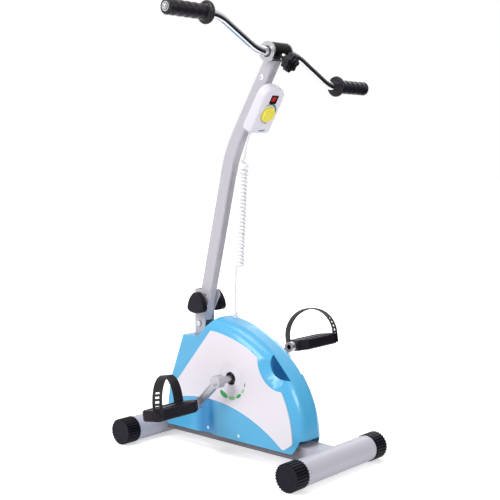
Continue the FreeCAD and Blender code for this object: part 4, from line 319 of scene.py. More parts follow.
# Stabilisers: two round steel tubes that stand on the floor, joined by a flat box tube. All are sprayed with the
# same silver-grey powder paint, which cures with a fine orange peel. The box tube's sides are duller, and carry
# painted shade where the housing stands over them: a darker grey that stands in for the housing's shadow.
silver_paint = finish("silver_paint", tone(187, 185, 197), 0.4, drift=0.05, grain=420, depth=0.00009,
                      specular_ior_level=0.3)
wear(silver_paint, "stabiliser_mast_end", "stabiliser_user_end", "frame_beam")
# the box tube's sides, with painted shade under the housing
beam_side_painted_shade = finish("beam_side_painted_shade", tone(190, 188, 200), 0.45, drift=0.1, grain=420, depth=0.00009)
tree = beam_side_painted_shade.node_tree
spot, apart, start, shade = (tree.nodes.new(kind) for kind in (
    "ShaderNodeTexCoord", "ShaderNodeSeparateXYZ", "ShaderNodeMapRange", "ShaderNodeMix"))
shade.data_type = "RGBA"
start.inputs["From Min"].default_value, start.inputs["From Max"].default_value = -0.206, -0.186
# painted shade: the second grey is the darker one under the housing, standing in for its shadow; the first is the
# sides' own duller grey
shade.inputs["A"].default_value, shade.inputs["B"].default_value = tone(186, 180, 190), tone(118, 113, 119)
for one, other in ((spot.outputs["Object"], apart.inputs[0]), (apart.outputs["Y"], start.inputs["Value"]),
                   (start.outputs["Result"], shade.inputs["Factor"]),
                   (shade.outputs["Result"], tree.nodes["skin"].inputs["Color"])):
    tree.links.new(one, other)
beam = node["frame_beam"].data
beam.materials.append(beam_side_painted_shade)
BEAM_SIDE_FROM = 0.028
for face in beam.polygons:
    face.material_index = int(abs(face.normal.x) > 0.5 and abs(face.center.x) > BEAM_SIDE_FROM)


# End caps: soft black vinyl pushed over the ends of the tubes, moulded with 28 ribs round the side that keep them
# from slipping on the floor, and a shallow dish in the closed end. The floors between the ribs are painted near
# black as painted shade.
def pick(piece, kind, test):
    """Puts a piece in edit mode with those faces or edges selected whose middle and direction pass the test."""
    if bpy.context.mode != "OBJECT":
        bpy.ops.object.mode_set(mode="OBJECT")
    bpy.ops.object.select_all(action="DESELECT")
    piece.select_set(True)
    bpy.context.view_layer.objects.active = piece
    mesh = piece.data
    for part in (mesh.vertices, mesh.edges, mesh.polygons):
        part.foreach_set("select", [False] * len(part))
    if kind == "FACE":
        for face in mesh.polygons:
            face.select = test(face.center, face.normal)
    else:
        for edge in mesh.edges:
            start, end = (mesh.vertices[i].co for i in edge.vertices)
            edge.select = test((start + end) / 2, (end - start).normalized())
    bpy.context.tool_settings.mesh_select_mode = (False, kind == "EDGE", kind == "FACE")
    bpy.ops.object.mode_set(mode="EDIT")


def round_blank(name, sides, radius, start, end):
    """A round blank along X from start to end."""
    bpy.ops.object.select_all(action="DESELECT")
    bpy.ops.mesh.primitive_cylinder_add(vertices=sides, radius=radius, depth=end - start, end_fill_type="NGON",
                                        location=((start + end) / 2, 0, 0), rotation=(0, math.pi / 2, 0))
    bpy.ops.object.transform_apply(location=True, rotation=True, scale=True)
    piece = bpy.context.object
    piece.name = piece.data.name = name
    return piece


def push(along, spread=1.0):
    """Extrudes the selected end face along X and then spreads or narrows it round the X axis."""
    bpy.ops.mesh.extrude_region_move(TRANSFORM_OT_translate={"value": (along, 0, 0)})
    if spread != 1.0:
        bpy.ops.transform.resize(value=(1, spread, spread), center_override=(0, 0, 0))


def close_up(piece, width=0.0, segments=2, sharp=30):
    """Leaves edit mode, turns the skin outwards, softens its sharp edges and smooths what is round."""
    pick(piece, "FACE", lambda middle, normal: True)
    bpy.ops.mesh.remove_doubles(threshold=0.000002)
    bpy.ops.mesh.normals_make_consistent(inside=False)
    bpy.ops.object.mode_set(mode="OBJECT")
    if width:
        soft = piece.modifiers.new("soft_edges", "BEVEL")
        soft.width, soft.segments, soft.limit_method, soft.angle_limit = width, segments, "ANGLE", math.radians(sharp)
        bpy.ops.object.modifier_apply(modifier="soft_edges")
    bpy.ops.object.shade_smooth_by_angle(angle=math.radians(40))
    even = piece.modifiers.new("even_light", "WEIGHTED_NORMAL")
    even.keep_sharp = True
    bpy.ops.object.modifier_apply(modifier="even_light")


def settle(piece, where):
    """Puts a piece in its place for good, with the place in its mesh."""
    bpy.ops.object.select_all(action="DESELECT")
    piece.select_set(True)
    bpy.context.view_layer.objects.active = piece
    piece.matrix_world = where
    bpy.ops.object.transform_apply(location=True, rotation=True, scale=True)


def twin(piece, name):
    """A copy of a piece with a mesh of its own."""
    other = piece.copy()
    other.data = piece.data.copy()
    other.name = other.data.name = name
    bpy.context.scene.collection.objects.link(other)
    return other


def fit_on(piece, body, slot, material, *stands_for):
    """Gives a finished piece its finish and its place in the moving trainer."""
    wear(material, piece)
    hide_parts(*stands_for)
    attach(piece, body)


def facing(sign):
    """What repeats is modelled on the right side, and half a turn about Z puts it on the left one."""
    return Matrix.Rotation(0 if sign > 0 else math.pi, 4, "Z")


CAP_CORE, CAP_TIPS, CAP_LENGTH, CAP_RIBS = 0.0284, 0.0300, 0.038, 28
CAP_START, TUBE_Y, TUBE_Z = 0.119, 0.251, 0.030


def on_rib(middle, normal):
    """Whether a strip of the cap's side belongs to a rib: two strips in four do."""
    turn = math.atan2(middle.y, -middle.z) % (2 * math.pi)
    return abs(normal.x) < 0.1 and int(turn / (math.pi / CAP_RIBS / 2)) % 4 in (0, 3)


cap = round_blank("cap", CAP_RIBS * 4, CAP_CORE, 0, CAP_LENGTH)
pick(cap, "FACE", on_rib)
push(0, CAP_TIPS / CAP_CORE)
pick(cap, "FACE", lambda middle, normal: normal.x > 0.9 and middle.yz.length < 0.01)
bpy.ops.mesh.inset(thickness=0.0042)
push(-0.0005, 0.985)
bpy.ops.mesh.inset(thickness=0.0105)
push(0.0003, 0.98)
close_up(cap, 0.00075, 2)
pick(cap, "FACE", lambda middle, normal: normal.x < -0.9 and middle.yz.length < 0.01)
bpy.ops.mesh.inset(thickness=0.0002)
push(0.032)
bpy.ops.object.mode_set(mode="OBJECT")
bpy.ops.object.shade_smooth_by_angle(angle=math.radians(40))
cap_vinyl = finish("cap_vinyl", tone(20, 17, 29), 0.45, drift=0.25, gloss_drift=0.15, grain=700, depth=0.00012,
                   specular_ior_level=0.14)
# painted shade: near black for the floors between the caps' ribs and for the spindles' sockets
hollow_painted_shade = finish("hollow_painted_shade", tone(6, 6, 8), 0.7, drift=0.2, grain=700, depth=0.00012, specular_ior_level=0.08)
for end, y in (("mast", TUBE_Y), ("user", -TUBE_Y)):
    for side, sign in (("left", -1), ("right", 1)):
        piece = twin(cap, f"floor_cap_{end}_{side}")
        settle(piece, Matrix.Translation((sign * CAP_START, y, TUBE_Z)) @ facing(sign))
        fit_on(piece, "base", "cap_grey", cap_vinyl, f"end_cap_{end}_end_{side}")
        piece.data.materials.append(hollow_painted_shade)
        # painted shade: the faces on the floor between the ribs get the near-black finish
        for face in piece.data.polygons:
            off = (face.center.yz - Vector((y, TUBE_Z))).length
            face.material_index = int(0.0281 < off < 0.0291 and abs(face.normal.x) < 0.5)
bpy.data.objects.remove(cap)


# Housing: two blue ABS shells, moulded with a fine satin grain and screwed together down the middle. They come from
# the solids, with their loose faces joined and their sharp edges broken as a mould leaves them. The upright hollow in
# the skirt carries painted shade: a stronger blue that stands in for the shade in the hollow.
def remade(source, name, width, segments=2, sharp=30):
    """A piece that starts from a CAD solid: its triangles are joined to whole faces and its edges softened."""
    bpy.ops.object.select_all(action="DESELECT")
    piece = bpy.data.objects.new(name, node[source].data.copy())
    piece.data.name = name
    bpy.context.scene.collection.objects.link(piece)
    piece.select_set(True)
    bpy.context.view_layer.objects.active = piece
    if piece.data.has_custom_normals:
        bpy.ops.mesh.customdata_custom_splitnormals_clear()
    pick(piece, "FACE", lambda middle, normal: True)
    bpy.ops.mesh.remove_doubles(threshold=0.00001)
    bpy.ops.mesh.dissolve_limited(angle_limit=math.radians(0.6))
    close_up(piece, width, segments, sharp)
    return piece


# painted shade: the second blue stands in for the shade in the skirt's upright hollow, and fades out along Y and Z
SHELL_COLOUR, HOLLOW_PAINTED_SHADE, HOLLOW_Y = tone(76, 176, 224), tone(0, 140, 207), 0.079
shell_blue = finish("shell_blue", SHELL_COLOUR, 0.34, drift=0.03, gloss_drift=0.06, grain=1500, depth=0.00003,
                    coat_weight=0.35, coat_roughness=0.12)
tree = shell_blue.node_tree
spot, apart, middle_of, across, share, hollow_shade_mix = (tree.nodes.new(kind) for kind in (
    "ShaderNodeTexCoord", "ShaderNodeSeparateXYZ", "ShaderNodeMath", "ShaderNodeMath", "ShaderNodeMath",
    "ShaderNodeMix"))
middle_of.operation, across.operation, share.operation, hollow_shade_mix.data_type = "SUBTRACT", "ABSOLUTE", "MULTIPLY", "RGBA"
middle_of.inputs[1].default_value = HOLLOW_Y
band_y, band_z = ramp(tree, 0.010, 0.042, 1.0, 0.0), ramp(tree, 0.125, 0.155, 1.0, 0.0)
hollow_shade_mix.inputs["A"].default_value = SHELL_COLOUR
hollow_shade_mix.inputs["B"].default_value = HOLLOW_PAINTED_SHADE
for one, other in ((spot.outputs["Object"], apart.inputs[0]), (apart.outputs["Y"], middle_of.inputs[0]),
                   (middle_of.outputs[0], across.inputs[0]), (across.outputs[0], band_y.inputs["Value"]),
                   (apart.outputs["Z"], band_z.inputs["Value"]), (band_y.outputs["Result"], share.inputs[0]),
                   (band_z.outputs["Result"], share.inputs[1]), (share.outputs[0], hollow_shade_mix.inputs["Factor"]),
                   (hollow_shade_mix.outputs["Result"], tree.nodes["skin"].inputs["Color"])):
    tree.links.new(one, other)
for side in ("left", "right"):
    shell = remade(f"shell_{side}", f"housing_{side}", 0.0013, 3, 38)
    fit_on(shell, "base", "blue_shell", shell_blue, f"shell_{side}")


# Side panels: white ABS plates pressed into the shells, with a soft edge, a shallow ring round the hole for the
# crank and a small printed ornament: a row of green petals round the hole that grow from one to the next.
INK_EDGE = 0.00035


def arc_group():
    """A printed arc or dot on a flat face: 1 on it and 0 beside it, with ends that run out to a point."""
    group = bpy.data.node_groups.new("printed_arc", "ShaderNodeTree")
    for name, kind in (("Place", "NodeSocketVector"), ("Radius", "NodeSocketFloat"), ("Width", "NodeSocketFloat"),
                       ("Middle", "NodeSocketFloat"), ("Span", "NodeSocketFloat")):
        group.interface.new_socket(name, in_out="INPUT", socket_type=kind)
    group.interface.new_socket("Mask", in_out="OUTPUT", socket_type="NodeSocketFloat")
    into, out = group.nodes.new("NodeGroupInput"), group.nodes.new("NodeGroupOutput")

    def math_node(operation, *values, clamp=False):
        """One step of the sum, on numbers and sockets. Gives the socket of its result."""
        made = group.nodes.new("ShaderNodeMath")
        made.operation, made.use_clamp = operation, clamp
        for socket, value in zip(made.inputs, values):
            if isinstance(value, (int, float)):
                socket.default_value = value
            else:
                group.links.new(value, socket)
        return made.outputs[0]

    split = group.nodes.new("ShaderNodeSeparateXYZ")
    group.links.new(into.outputs["Place"], split.inputs[0])
    across, up = split.outputs["X"], split.outputs["Y"]
    square = math_node("ADD", math_node("MULTIPLY", across, across), math_node("MULTIPLY", up, up))
    radius = math_node("SQRT", square)
    turn = math_node("ARCTAN2", up, across)
    lean = math_node("WRAP", math_node("SUBTRACT", turn, into.outputs["Middle"]), math.pi, -math.pi)
    share = math_node("DIVIDE", math_node("ABSOLUTE", lean), into.outputs["Span"], clamp=True)
    taper = math_node("SQRT", math_node("SUBTRACT", 1.0, math_node("POWER", share, 2.0)))
    half = math_node("MULTIPLY", math_node("MULTIPLY", taper, into.outputs["Width"]), 0.5)
    off = math_node("ABSOLUTE", math_node("SUBTRACT", radius, into.outputs["Radius"]))
    inside = math_node("DIVIDE", math_node("SUBTRACT", half, off), INK_EDGE, clamp=True)
    group.links.new(inside, out.inputs["Mask"])
    return group


printed_arc = arc_group()


def print_on(material, origin, across, up, marks):
    """Prints arcs on a finish, in the plane through origin with its two directions. A mark is radius, width, middle
    and half span in degrees, ink, and where its centre lies from the origin, or None."""
    tree = material.node_tree
    spot, from_origin, face = (tree.nodes.new(kind) for kind in (
        "ShaderNodeTexCoord", "ShaderNodeVectorMath", "ShaderNodeCombineXYZ"))
    from_origin.operation = "SUBTRACT"
    from_origin.inputs[1].default_value = origin
    tree.links.new(spot.outputs["Object"], from_origin.inputs[0])
    for direction, socket in ((across, "X"), (up, "Y")):
        along = tree.nodes.new("ShaderNodeVectorMath")
        along.operation = "DOT_PRODUCT"
        along.inputs[1].default_value = direction
        tree.links.new(from_origin.outputs[0], along.inputs[0])
        tree.links.new(along.outputs["Value"], face.inputs[socket])
    skin = tree.nodes["skin"]
    colour = None
    for radius, width, middle, span, ink, shift in marks:
        place = face.outputs[0]
        if shift:
            moved = tree.nodes.new("ShaderNodeVectorMath")
            moved.operation = "SUBTRACT"
            moved.inputs[1].default_value = (*shift, 0)
            tree.links.new(place, moved.inputs[0])
            place = moved.outputs[0]
        arc = tree.nodes.new("ShaderNodeGroup")
        arc.node_tree = printed_arc
        tree.links.new(place, arc.inputs["Place"])
        for socket, value in (("Radius", radius), ("Width", width), ("Middle", math.radians(middle)),
                              ("Span", math.radians(span))):
            arc.inputs[socket].default_value = value
        layer = tree.nodes.new("ShaderNodeMix")
        layer.data_type = "RGBA"
        tree.links.new(arc.outputs["Mask"], layer.inputs["Factor"])
        if colour is None:
            layer.inputs["A"].default_value = skin.inputs["Color"].default_value
        else:
            tree.links.new(colour, layer.inputs["A"])
        layer.inputs["B"].default_value = ink
        colour = layer.outputs["Result"]
    tree.links.new(colour, skin.inputs["Color"])


leaf_green, pale_green = tone(74, 166, 96), tone(150, 204, 152)
PETAL_CIRCLE = 0.0440
for side, sign in (("left", -1), ("right", 1)):
    panel_white = finish(f"panel_white_{side}", tone(235, 229, 237), 0.32, drift=0.02, gloss_drift=0.05, grain=1300,
                         depth=0.00003, coat_weight=0.25, coat_roughness=0.15)
    print_on(panel_white, (0, 0.002, 0.176), (0, sign, 0), (0, 0, 1), (
        (PETAL_CIRCLE, 0.0125, -118, 17, leaf_green, None),
        (PETAL_CIRCLE, 0.0100, -84, 14, pale_green, None),
        (PETAL_CIRCLE, 0.0078, -55, 11, leaf_green, None),
        (PETAL_CIRCLE, 0.0058, -31, 9, pale_green, None),
        (PETAL_CIRCLE, 0.0040, -11, 7, leaf_green, None),
    ))
    panel = remade(f"side_panel_{side}", f"white_panel_{side}", 0.0007)
    fit_on(panel, "base", "white_panel", panel_white, f"side_panel_{side}")


# Skirt screws: four zinc-plated pan heads with a cross recess, two on each side, that hold the shells to the tabs
# on the beam.
def turned(name, rings, sides=48):
    """A round piece along X, drawn out from ring to ring. A ring is its place and its radius."""
    bpy.ops.object.select_all(action="DESELECT")
    bpy.ops.mesh.primitive_circle_add(vertices=sides, radius=rings[0][1], fill_type="NGON",
                                      location=(rings[0][0], 0, 0), rotation=(0, math.pi / 2, 0))
    bpy.ops.object.transform_apply(location=True, rotation=True, scale=True)
    piece = bpy.context.object
    piece.name = piece.data.name = name
    pick(piece, "FACE", lambda middle, normal: True)
    for (x, radius), (next_x, next_radius) in zip(rings, rings[1:]):
        push(next_x - x, next_radius / radius)
    return piece


def cross_head(name, radius, height):
    """The head of a pan screw along X, with a cross recess in its dome."""
    head = turned(name, [(-0.0008, radius * 0.9), (0, radius), (height * 0.3, radius), (height * 0.72, radius * 0.86),
                         (height * 0.94, radius * 0.62), (height, radius * 0.3)], 36)
    close_up(head)
    for quarter in (0, math.pi / 2):
        bpy.ops.mesh.primitive_cube_add(size=1, location=(height, 0, 0), rotation=(quarter, 0, 0),
                                        scale=(height * 1.1, radius * 1.1, radius * 0.28))
        slot = bpy.context.object
        recess = head.modifiers.new("recess", "BOOLEAN")
        recess.object, recess.operation = slot, "DIFFERENCE"
        bpy.context.view_layer.objects.active = head
        bpy.ops.object.modifier_apply(modifier="recess")
        bpy.data.objects.remove(slot)
    return head


def joined(name, *pieces):
    """Joins pieces to the first of them."""
    bpy.ops.object.select_all(action="DESELECT")
    for piece in pieces:
        piece.select_set(True)
    bpy.context.view_layer.objects.active = pieces[0]
    bpy.ops.object.join()
    pieces[0].name = pieces[0].data.name = name
    return pieces[0]


steel = finish("zinc_steel", tone(186, 186, 190), 0.3, drift=0.1, metallic=1, grain=400, depth=0.00002)
bright_zinc = finish("bright_zinc", tone(216, 216, 220), 0.34, drift=0.08, metallic=0.7, grain=400, depth=0.00002)
SKIRT_FACE, SCREW_Z = 0.047, 0.049
head = cross_head("head", 0.0036, 0.0014)
heads = []
for sign in (-1, 1):
    for y, hollow in ((0.078, 0.00589), (-0.022, 0)):
        heads.append(twin(head, f"head_{len(heads)}"))
        settle(heads[-1], Matrix.Translation((sign * (SKIRT_FACE - hollow), y, SCREW_Z)) @ facing(sign))
bpy.data.objects.remove(head)
fit_on(joined("cross_head_screws", *heads), "base", "steel", bright_zinc, "skirt_screws")
wear(steel, "clamp_bolt", "spacer_bolt", "crank_bearing_left", "crank_bearing_right", "axle_stand",
     "motor_mount", "handle_bearing")

# Bracket: a steel plate folded to a channel and welded upright on the beam, sprayed in the mast's silver.
mast_paint = finish("mast_paint", tone(192, 188, 196), 0.36, drift=0.04, grain=420, depth=0.00008, coat_weight=0.2,
                    coat_roughness=0.2)
wear(mast_paint, "mast_bracket", "mast_tube")

# Mast screw: a larger pan head of the same kind in the mast's side, below the bearing.
UPPER_LEAN = math.radians(31)
big_head = cross_head("mast_pan_screw", 0.0065, 0.0022)
settle(big_head, Matrix.Translation((-0.0120, -0.0579, 0.8398)) @ Matrix.Rotation(-UPPER_LEAN, 4, "X") @ facing(-1))
fit_on(big_head, "mast", "steel", bright_zinc, "mast_screw")

# Clamp knobs: two black nylon knobs of a rounded three-sided shape on the ends of the bolt through bracket and
# mast, which the user turns by hand to set the lean.
moulded_black = finish("moulded_black", tone(23, 18, 28), 0.36, drift=0.2, gloss_drift=0.12, grain=900, depth=0.00006,
                       specular_ior_level=0.16)
KNOB_TIP, KNOB_SIDE, KNOB_ROUND = 0.0318, 0.0232, 0.0105
KNOB_START, CLAMP_Y, CLAMP_Z = 0.016, 0.1205, 0.331
knob = round_blank("knob", 6, KNOB_TIP, 0.008, 0.0236)
settle(knob, Matrix.Rotation(math.radians(30), 4, "X"))
pick(knob, "EDGE", lambda middle, along: abs(along.x) > 0.9
     and round((math.degrees(math.atan2(middle.z, middle.y)) - 90) / 60) % 2 == 1)
bpy.ops.transform.resize(value=(1, KNOB_SIDE / KNOB_TIP, KNOB_SIDE / KNOB_TIP), center_override=(0, 0, 0))
bpy.ops.mesh.bevel(offset=KNOB_ROUND, offset_type="OFFSET", segments=8, affect="EDGES")
pick(knob, "EDGE", lambda middle, along: abs(along.x) > 0.9 and middle.yz.length > 0.029)
bpy.ops.mesh.bevel(offset=KNOB_ROUND, offset_type="OFFSET", segments=10, affect="EDGES")
pick(knob, "FACE", lambda middle, normal: normal.x > 0.9)
bpy.ops.mesh.inset(thickness=0.0016)
push(0.0030, 0.94)
close_up(knob, 0.0011, 3)
pick(knob, "FACE", lambda middle, normal: normal.x < -0.9 and middle.yz.length < 0.005)
bpy.ops.mesh.inset(thickness=0.009)
push(-0.008, 0.95)
bpy.ops.object.mode_set(mode="OBJECT")
bpy.ops.object.shade_smooth_by_angle(angle=math.radians(40))
for side, sign in (("left", -1), ("right", 1)):
    piece = twin(knob, f"three_sided_knob_{side}")
    settle(piece, Matrix.Translation((sign * KNOB_START, CLAMP_Y, CLAMP_Z)) @ facing(sign))
    fit_on(piece, f"{side}_clamp_knob", "black_plastic", moulded_black, f"clamp_knob_{side}")
bpy.data.objects.remove(knob)

# Bearing sleeve: a black plastic tube slid over the cross tube that is welded on the mast, between two zinc rings.
sleeve_black = finish("sleeve_black", tone(6, 6, 8), 0.4, drift=0.2, gloss_drift=0.1, grain=900, depth=0.00004,
                      specular_ior_level=0.12)
wear(sleeve_black, "bearing_sleeve")

# Small black mouldings: the plug in the mast's foot, the rail that the handset hangs on, the inlet of the supply
# cable and the seals round the crank axle.
wear(moulded_black, "mast_foot_plug", "handset_holder", "cable_gland", "axle_seal_left", "axle_seal_right")

# Crank axle: a plated steel shaft, thinner where it shows between the housing and the arms.
shaft = turned("stepped_axle", [(-0.0944, 0.0100), (-0.0792, 0.0100), (-0.0792, 0.0078), (-0.0402, 0.0078),
                                (-0.0400, 0.0100), (0.0400, 0.0100), (0.0402, 0.0078), (0.0792, 0.0078),
                                (0.0792, 0.0100), (0.0944, 0.0100)])
close_up(shaft)
CRANK_PLACE = Matrix.Translation((0, 0.002, 0.176))
settle(shaft, CRANK_PLACE)
fit_on(shaft, "crankset", "chrome", steel, "crank_axle")

# Crank arms: cast, polished and clear lacquered, with a flute down the outer side, a long boss with a ringed cap over
# the axle's end and an eye for the pedal's spindle.
crank_paint = finish("crank_paint", tone(184, 182, 189), 0.3, drift=0.12, gloss_drift=0.15, metallic=0.85, grain=500,
                     depth=0.00005, patch=60)
for side, sign in (("left", -1), ("right", 1)):
    arm = remade(f"crank_arm_{side}", f"cast_arm_{side}", 0)
    pick(arm, "FACE", lambda middle, normal: normal.x * sign < -0.9 and abs(middle.x) < 0.0825)
    push(-sign * 0.003)
    pick(arm, "FACE", lambda middle, normal: normal.x * sign > 0.9 and abs(middle.x) > 0.0955)
    bpy.ops.mesh.inset(thickness=0.0028)
    push(-sign * 0.0014)
    close_up(arm, 0.0008, 3)
    end = turned("boss_end", [(0.0930, 0.0135), (0.0975, 0.0144), (0.0986, 0.0144), (0.0992, 0.0138),
                              (0.0992, 0.0112), (0.0986, 0.0106), (0.0986, 0.0072), (0.0991, 0.0066),
                              (0.0991, 0.0010)])
    close_up(end)
    settle(end, CRANK_PLACE @ facing(sign))
    fit_on(joined(f"cast_arm_{side}", arm, end), "crankset", "crank_paint", crank_paint, f"crank_arm_{side}")

# Pedal spindles: turned steel, screwed into the arms' eyes, with a collar and a socket in the inner end that is
# painted near black as painted shade in the eye.
spindle = turned("spindle", [(0.0905, 0.0036), (0.0878, 0.0040), (0.0870, 0.0060), (0.0960, 0.0060), (0.0960, 0.0090),
                             (0.1027, 0.0090), (0.1027, 0.0060), (0.2280, 0.0060)], 36)
close_up(spindle)
other = twin(spindle, "other_spindle")
LEFT_PEDAL_AXIS, RIGHT_PEDAL_AXIS = (0, 0.0614, 0.1166), (0, -0.0574, 0.2354)
settle(spindle, Matrix.Translation(LEFT_PEDAL_AXIS) @ facing(-1))
settle(other, Matrix.Translation(RIGHT_PEDAL_AXIS))
spindle = joined("turned_spindles", spindle, other)
fit_on(spindle, "crankset", "chrome", steel, "pedal_spindles")
spindle.data.materials.append(hollow_painted_shade)
# painted shade: the socket's faces get the near-black finish
SOCKET_END = 0.0906
for face in spindle.data.polygons:
    face.material_index = int(abs(face.center.x) < SOCKET_END)

# Pedals: glass-filled nylon platforms with two windows that turn on steel spindles, and a rubber strap over each,
# buttoned on moulded lugs through one of its slots.
pedal_nylon = finish("pedal_nylon", tone(23, 18, 28), 0.42, drift=0.25, gloss_drift=0.15, grain=650, depth=0.0001,
                     specular_ior_level=0.16)
strap_rubber = finish("strap_rubber", tone(19, 16, 23), 0.5, drift=0.2, grain=1300, depth=0.00008,
                      specular_ior_level=0.2)
for side in ("left", "right"):
    pedal = remade(f"pedal_{side}", f"platform_{side}", 0.0008)
    fit_on(pedal, f"{side}_pedal", "black_plastic", pedal_nylon, f"pedal_{side}")
    strap = remade(f"strap_{side}", f"foot_strap_{side}", 0.0005)
    fit_on(strap, f"{side}_pedal", "grip_rubber", strap_rubber, f"strap_{side}")

# Hand crank: a steel tube bent to a Z and chrome plated, running in two plastic bushes.
chrome = finish("bar_chrome", tone(216, 216, 221), 0.07, drift=0.02, gloss_drift=0.03, metallic=1, grain=60,
                depth=0.00001)
wear(chrome, "handlebar")
wear(finish("bush_plastic", tone(60, 60, 66), 0.4), "handle_bush_left", "handle_bush_right")

# Grips: black rubber sleeves that turn on the bar's ends, each with a wide flange for the thumb and five swells.
HANDLE_Y, HANDLE_Z, BAR_THROW = -0.0893, 0.89209, 0.062
SWELLS, SWELLS_START, SWELL_PITCH = 5, 0.2205, 0.0188
GRIP_RINGS = [(0.2110, 0.0192), (0.2113, 0.0215), (0.2124, 0.0229), (0.2142, 0.0235), (0.2160, 0.0234),
              (0.2174, 0.0225), (0.2182, 0.0208), (0.2186, 0.0185), (0.2192, 0.0168), (0.2205, 0.0158)]
for number in range(SWELLS):
    start = SWELLS_START + SWELL_PITCH * number
    GRIP_RINGS += [(start + 0.0016, 0.0144), (start + 0.0030, 0.0149), (start + 0.0062, 0.0156),
                   (start + 0.0102, 0.0158), (start + 0.0142, 0.0156), (start + 0.0174, 0.0149)]
GRIP_RINGS += [(0.3160, 0.0144), (0.3172, 0.0152), (0.3190, 0.0159), (0.3215, 0.0159), (0.3238, 0.0150),
               (0.3252, 0.0132), (0.3257, 0.0110), (0.3257, 0.0088), (0.3240, 0.0084)]
grip_rubber = finish("grip_rubber", tone(31, 26, 35), 0.36, drift=0.2, gloss_drift=0.1, grain=1500, depth=0.00006,
                     specular_ior_level=0.24)
grip = turned("grip", GRIP_RINGS)
close_up(grip)
for side, sign in (("left", -1), ("right", 1)):
    piece = twin(grip, f"swelled_grip_{side}")
    settle(piece, Matrix.Translation((0, HANDLE_Y, HANDLE_Z - sign * BAR_THROW)) @ facing(sign))
    fit_on(piece, f"{side}_grip", "grip_rubber", grip_rubber, f"grip_{side}")
bpy.data.objects.remove(grip)

# End bolts: a zinc-plated button head and washer in each end of the bar, which keep the grips on.
bolt = turned("bolt", [(0.3100, 0.0046), (0.3259, 0.0046), (0.3259, 0.0064), (0.3268, 0.0064), (0.3271, 0.0061),
                       (0.3271, 0.0043), (0.3294, 0.0042), (0.3304, 0.0037), (0.3309, 0.0028), (0.3309, 0.0020),
                       (0.3290, 0.0018)], 36)
close_up(bolt)
other = twin(bolt, "other_bolt")
settle(bolt, Matrix.Translation((0, HANDLE_Y, HANDLE_Z + BAR_THROW)) @ facing(-1))
settle(other, Matrix.Translation((0, HANDLE_Y, HANDLE_Z - BAR_THROW)))
fit_on(joined("grip_end_bolts", bolt, other), "hand_crank", "steel", steel, "handlebar_end_bolts")

# Star knob: black nylon with seven lobes, on a stem that presses on the bar and brakes the hand crank.
STAR_LOBES, STAR_RADIUS, STAR_HOLLOW = 7, 0.0215, 0.79
star = round_blank("star_knob", STAR_LOBES * 4, STAR_RADIUS, 0.039, 0.054)
pick(star, "EDGE", lambda middle, along: abs(along.x) > 0.9
     and round(math.atan2(middle.z, middle.y) % (2 * math.pi) / (math.pi / (2 * STAR_LOBES))) % 4 in (2, 3))
bpy.ops.transform.resize(value=(1, STAR_HOLLOW, STAR_HOLLOW), center_override=(0, 0, 0))
pick(star, "EDGE", lambda middle, along: abs(along.x) > 0.9)
bpy.ops.mesh.bevel(offset=0.0019, offset_type="OFFSET", segments=4, affect="EDGES")
pick(star, "FACE", lambda middle, normal: normal.x > 0.9)
bpy.ops.transform.resize(value=(1, 0.96, 0.96), center_override=(0, 0, 0))
close_up(star, 0.0013, 3)
pick(star, "FACE", lambda middle, normal: normal.x > 0.9 and middle.yz.length < 0.004)
bpy.ops.mesh.inset(thickness=0.0055)
push(-0.0008, 0.96)
bpy.ops.object.mode_set(mode="OBJECT")
stem = turned("stem", [(0.0098, 0.0040), (0.0273, 0.0040), (0.0273, 0.0080), (0.0395, 0.0086)], 32)
close_up(stem)
joined("star_knob", star, stem)
bpy.ops.object.shade_smooth_by_angle(angle=math.radians(40))
LEANING = Matrix.Rotation(UPPER_LEAN, 4, "X")
TO_THE_USER = Matrix.Rotation(-math.pi / 2, 4, "Z")
settle(star, Matrix.Translation((0, HANDLE_Y, HANDLE_Z)) @ LEANING @ TO_THE_USER)
fit_on(star, "star_knob", "black_plastic", moulded_black, "friction_knob")
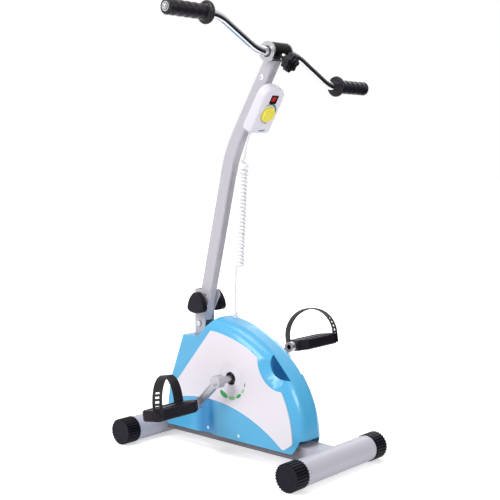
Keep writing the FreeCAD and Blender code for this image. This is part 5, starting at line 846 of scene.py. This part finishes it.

# Handset: two white ABS halves screwed together, with a rounded edge and a fine parting line. A teal scale with a
# dark mark is printed round the speed knob, and a short line at the foot, all on the front half alone. A thin olive
# arc round the left of the knob's foot is painted shade from the knob.
handset_middle = Vector((0, -0.02853, 0.79094))
handset_up = Vector((0, -0.515, 0.857))
handset_white, scale_print_and_shade = (
    finish(name, tone(230, 226, 237), 0.36, drift=0.02, grain=1400, depth=0.00003, specular_ior_level=0.3)
    for name in ("handset_white", "scale_print_and_shade"))
teal, dark_olive = tone(44, 122, 112), tone(70, 74, 52)
DIAL_DROP = 0.0064
print_on(scale_print_and_shade, tuple(handset_middle), (1, 0, 0), tuple(handset_up), (
    (0.0232, 0.0042, 42, 100, teal, (0, -DIAL_DROP)),
    (0.0228, 0.0034, -74, 11, dark_olive, (0, -DIAL_DROP)),
    # painted shade: a thin olive arc round the left of the knob's foot, standing in for its shade
    (0.0198, 0.0012, 215, 90, tone(150, 148, 110), (0, -DIAL_DROP)),
    (0.0600, 0.0046, -85, 11, tone(124, 158, 162), (0, 0.0120)),
))
for half, material in (("back", handset_white), ("front", scale_print_and_shade)):
    shell = remade(f"handset_{half}", f"handset_shell_{half}", 0.0005)
    fit_on(shell, "handset", "handset_white", material, f"handset_{half}")
wear(handset_white, "handset_gland", "cord_strain_relief")

# Rocker switch: red polycarbonate in a black bezel that snaps into the handset.
rocker_red = finish("rocker_red", tone(196, 40, 40), 0.2, drift=0.05, coat_weight=0.3)
bezel = remade("switch_bezel", "rocker_bezel", 0.0003)
fit_on(bezel, "handset", "black_plastic", moulded_black, "switch_bezel")
rocker = remade("rocker_switch", "red_rocker", 0.0004, 3)
fit_on(rocker, "rocker", "switch_red", rocker_red, "rocker_switch")

# Speed knob: yellow ABS, moulded in one piece and pressed on the shaft, turned by its ribbed flank, with a shallow
# dish in its top.
dial_yellow = finish("dial_yellow", tone(247, 232, 84), 0.32, drift=0.03, grain=1200, depth=0.00003, coat_weight=0.2)
DIAL_SIDES = 96
dial = turned("ribbed_dial", [(0.0465, 0.0184), (0.0476, 0.0184), (0.0480, 0.0177), (0.0519, 0.0170),
                              (0.0526, 0.0163), (0.0529, 0.0152), (0.0529, 0.0146), (0.0524, 0.0140)], DIAL_SIDES)
pick(dial, "FACE", lambda middle, normal: 0.0481 < middle.x < 0.0518
     and int((math.atan2(middle.z, middle.y) % (2 * math.pi)) / (2 * math.pi / DIAL_SIDES)) % 3 == 0)
push(0, 1.035)
close_up(dial, 0.0002, 1)
settle(dial, Matrix.Translation(handset_middle) @ LEANING @ Matrix.Translation((0, 0, -DIAL_DROP)) @ TO_THE_USER)
fit_on(dial, "speed_dial", "knob_yellow", dial_yellow, "speed_knob")

# Inside the housing: what the openings let one see, and what the motor needs.
wear(finish("pulley_plastic", tone(60, 62, 66), 0.45), "drive_pulley", "drive_belt")
wear(finish("motor_zinc", tone(150, 152, 156), 0.35, metallic=0.9), "gear_motor", "motor_pulley")
wear(finish("board_green", tone(24, 92, 58), 0.35), "control_board")
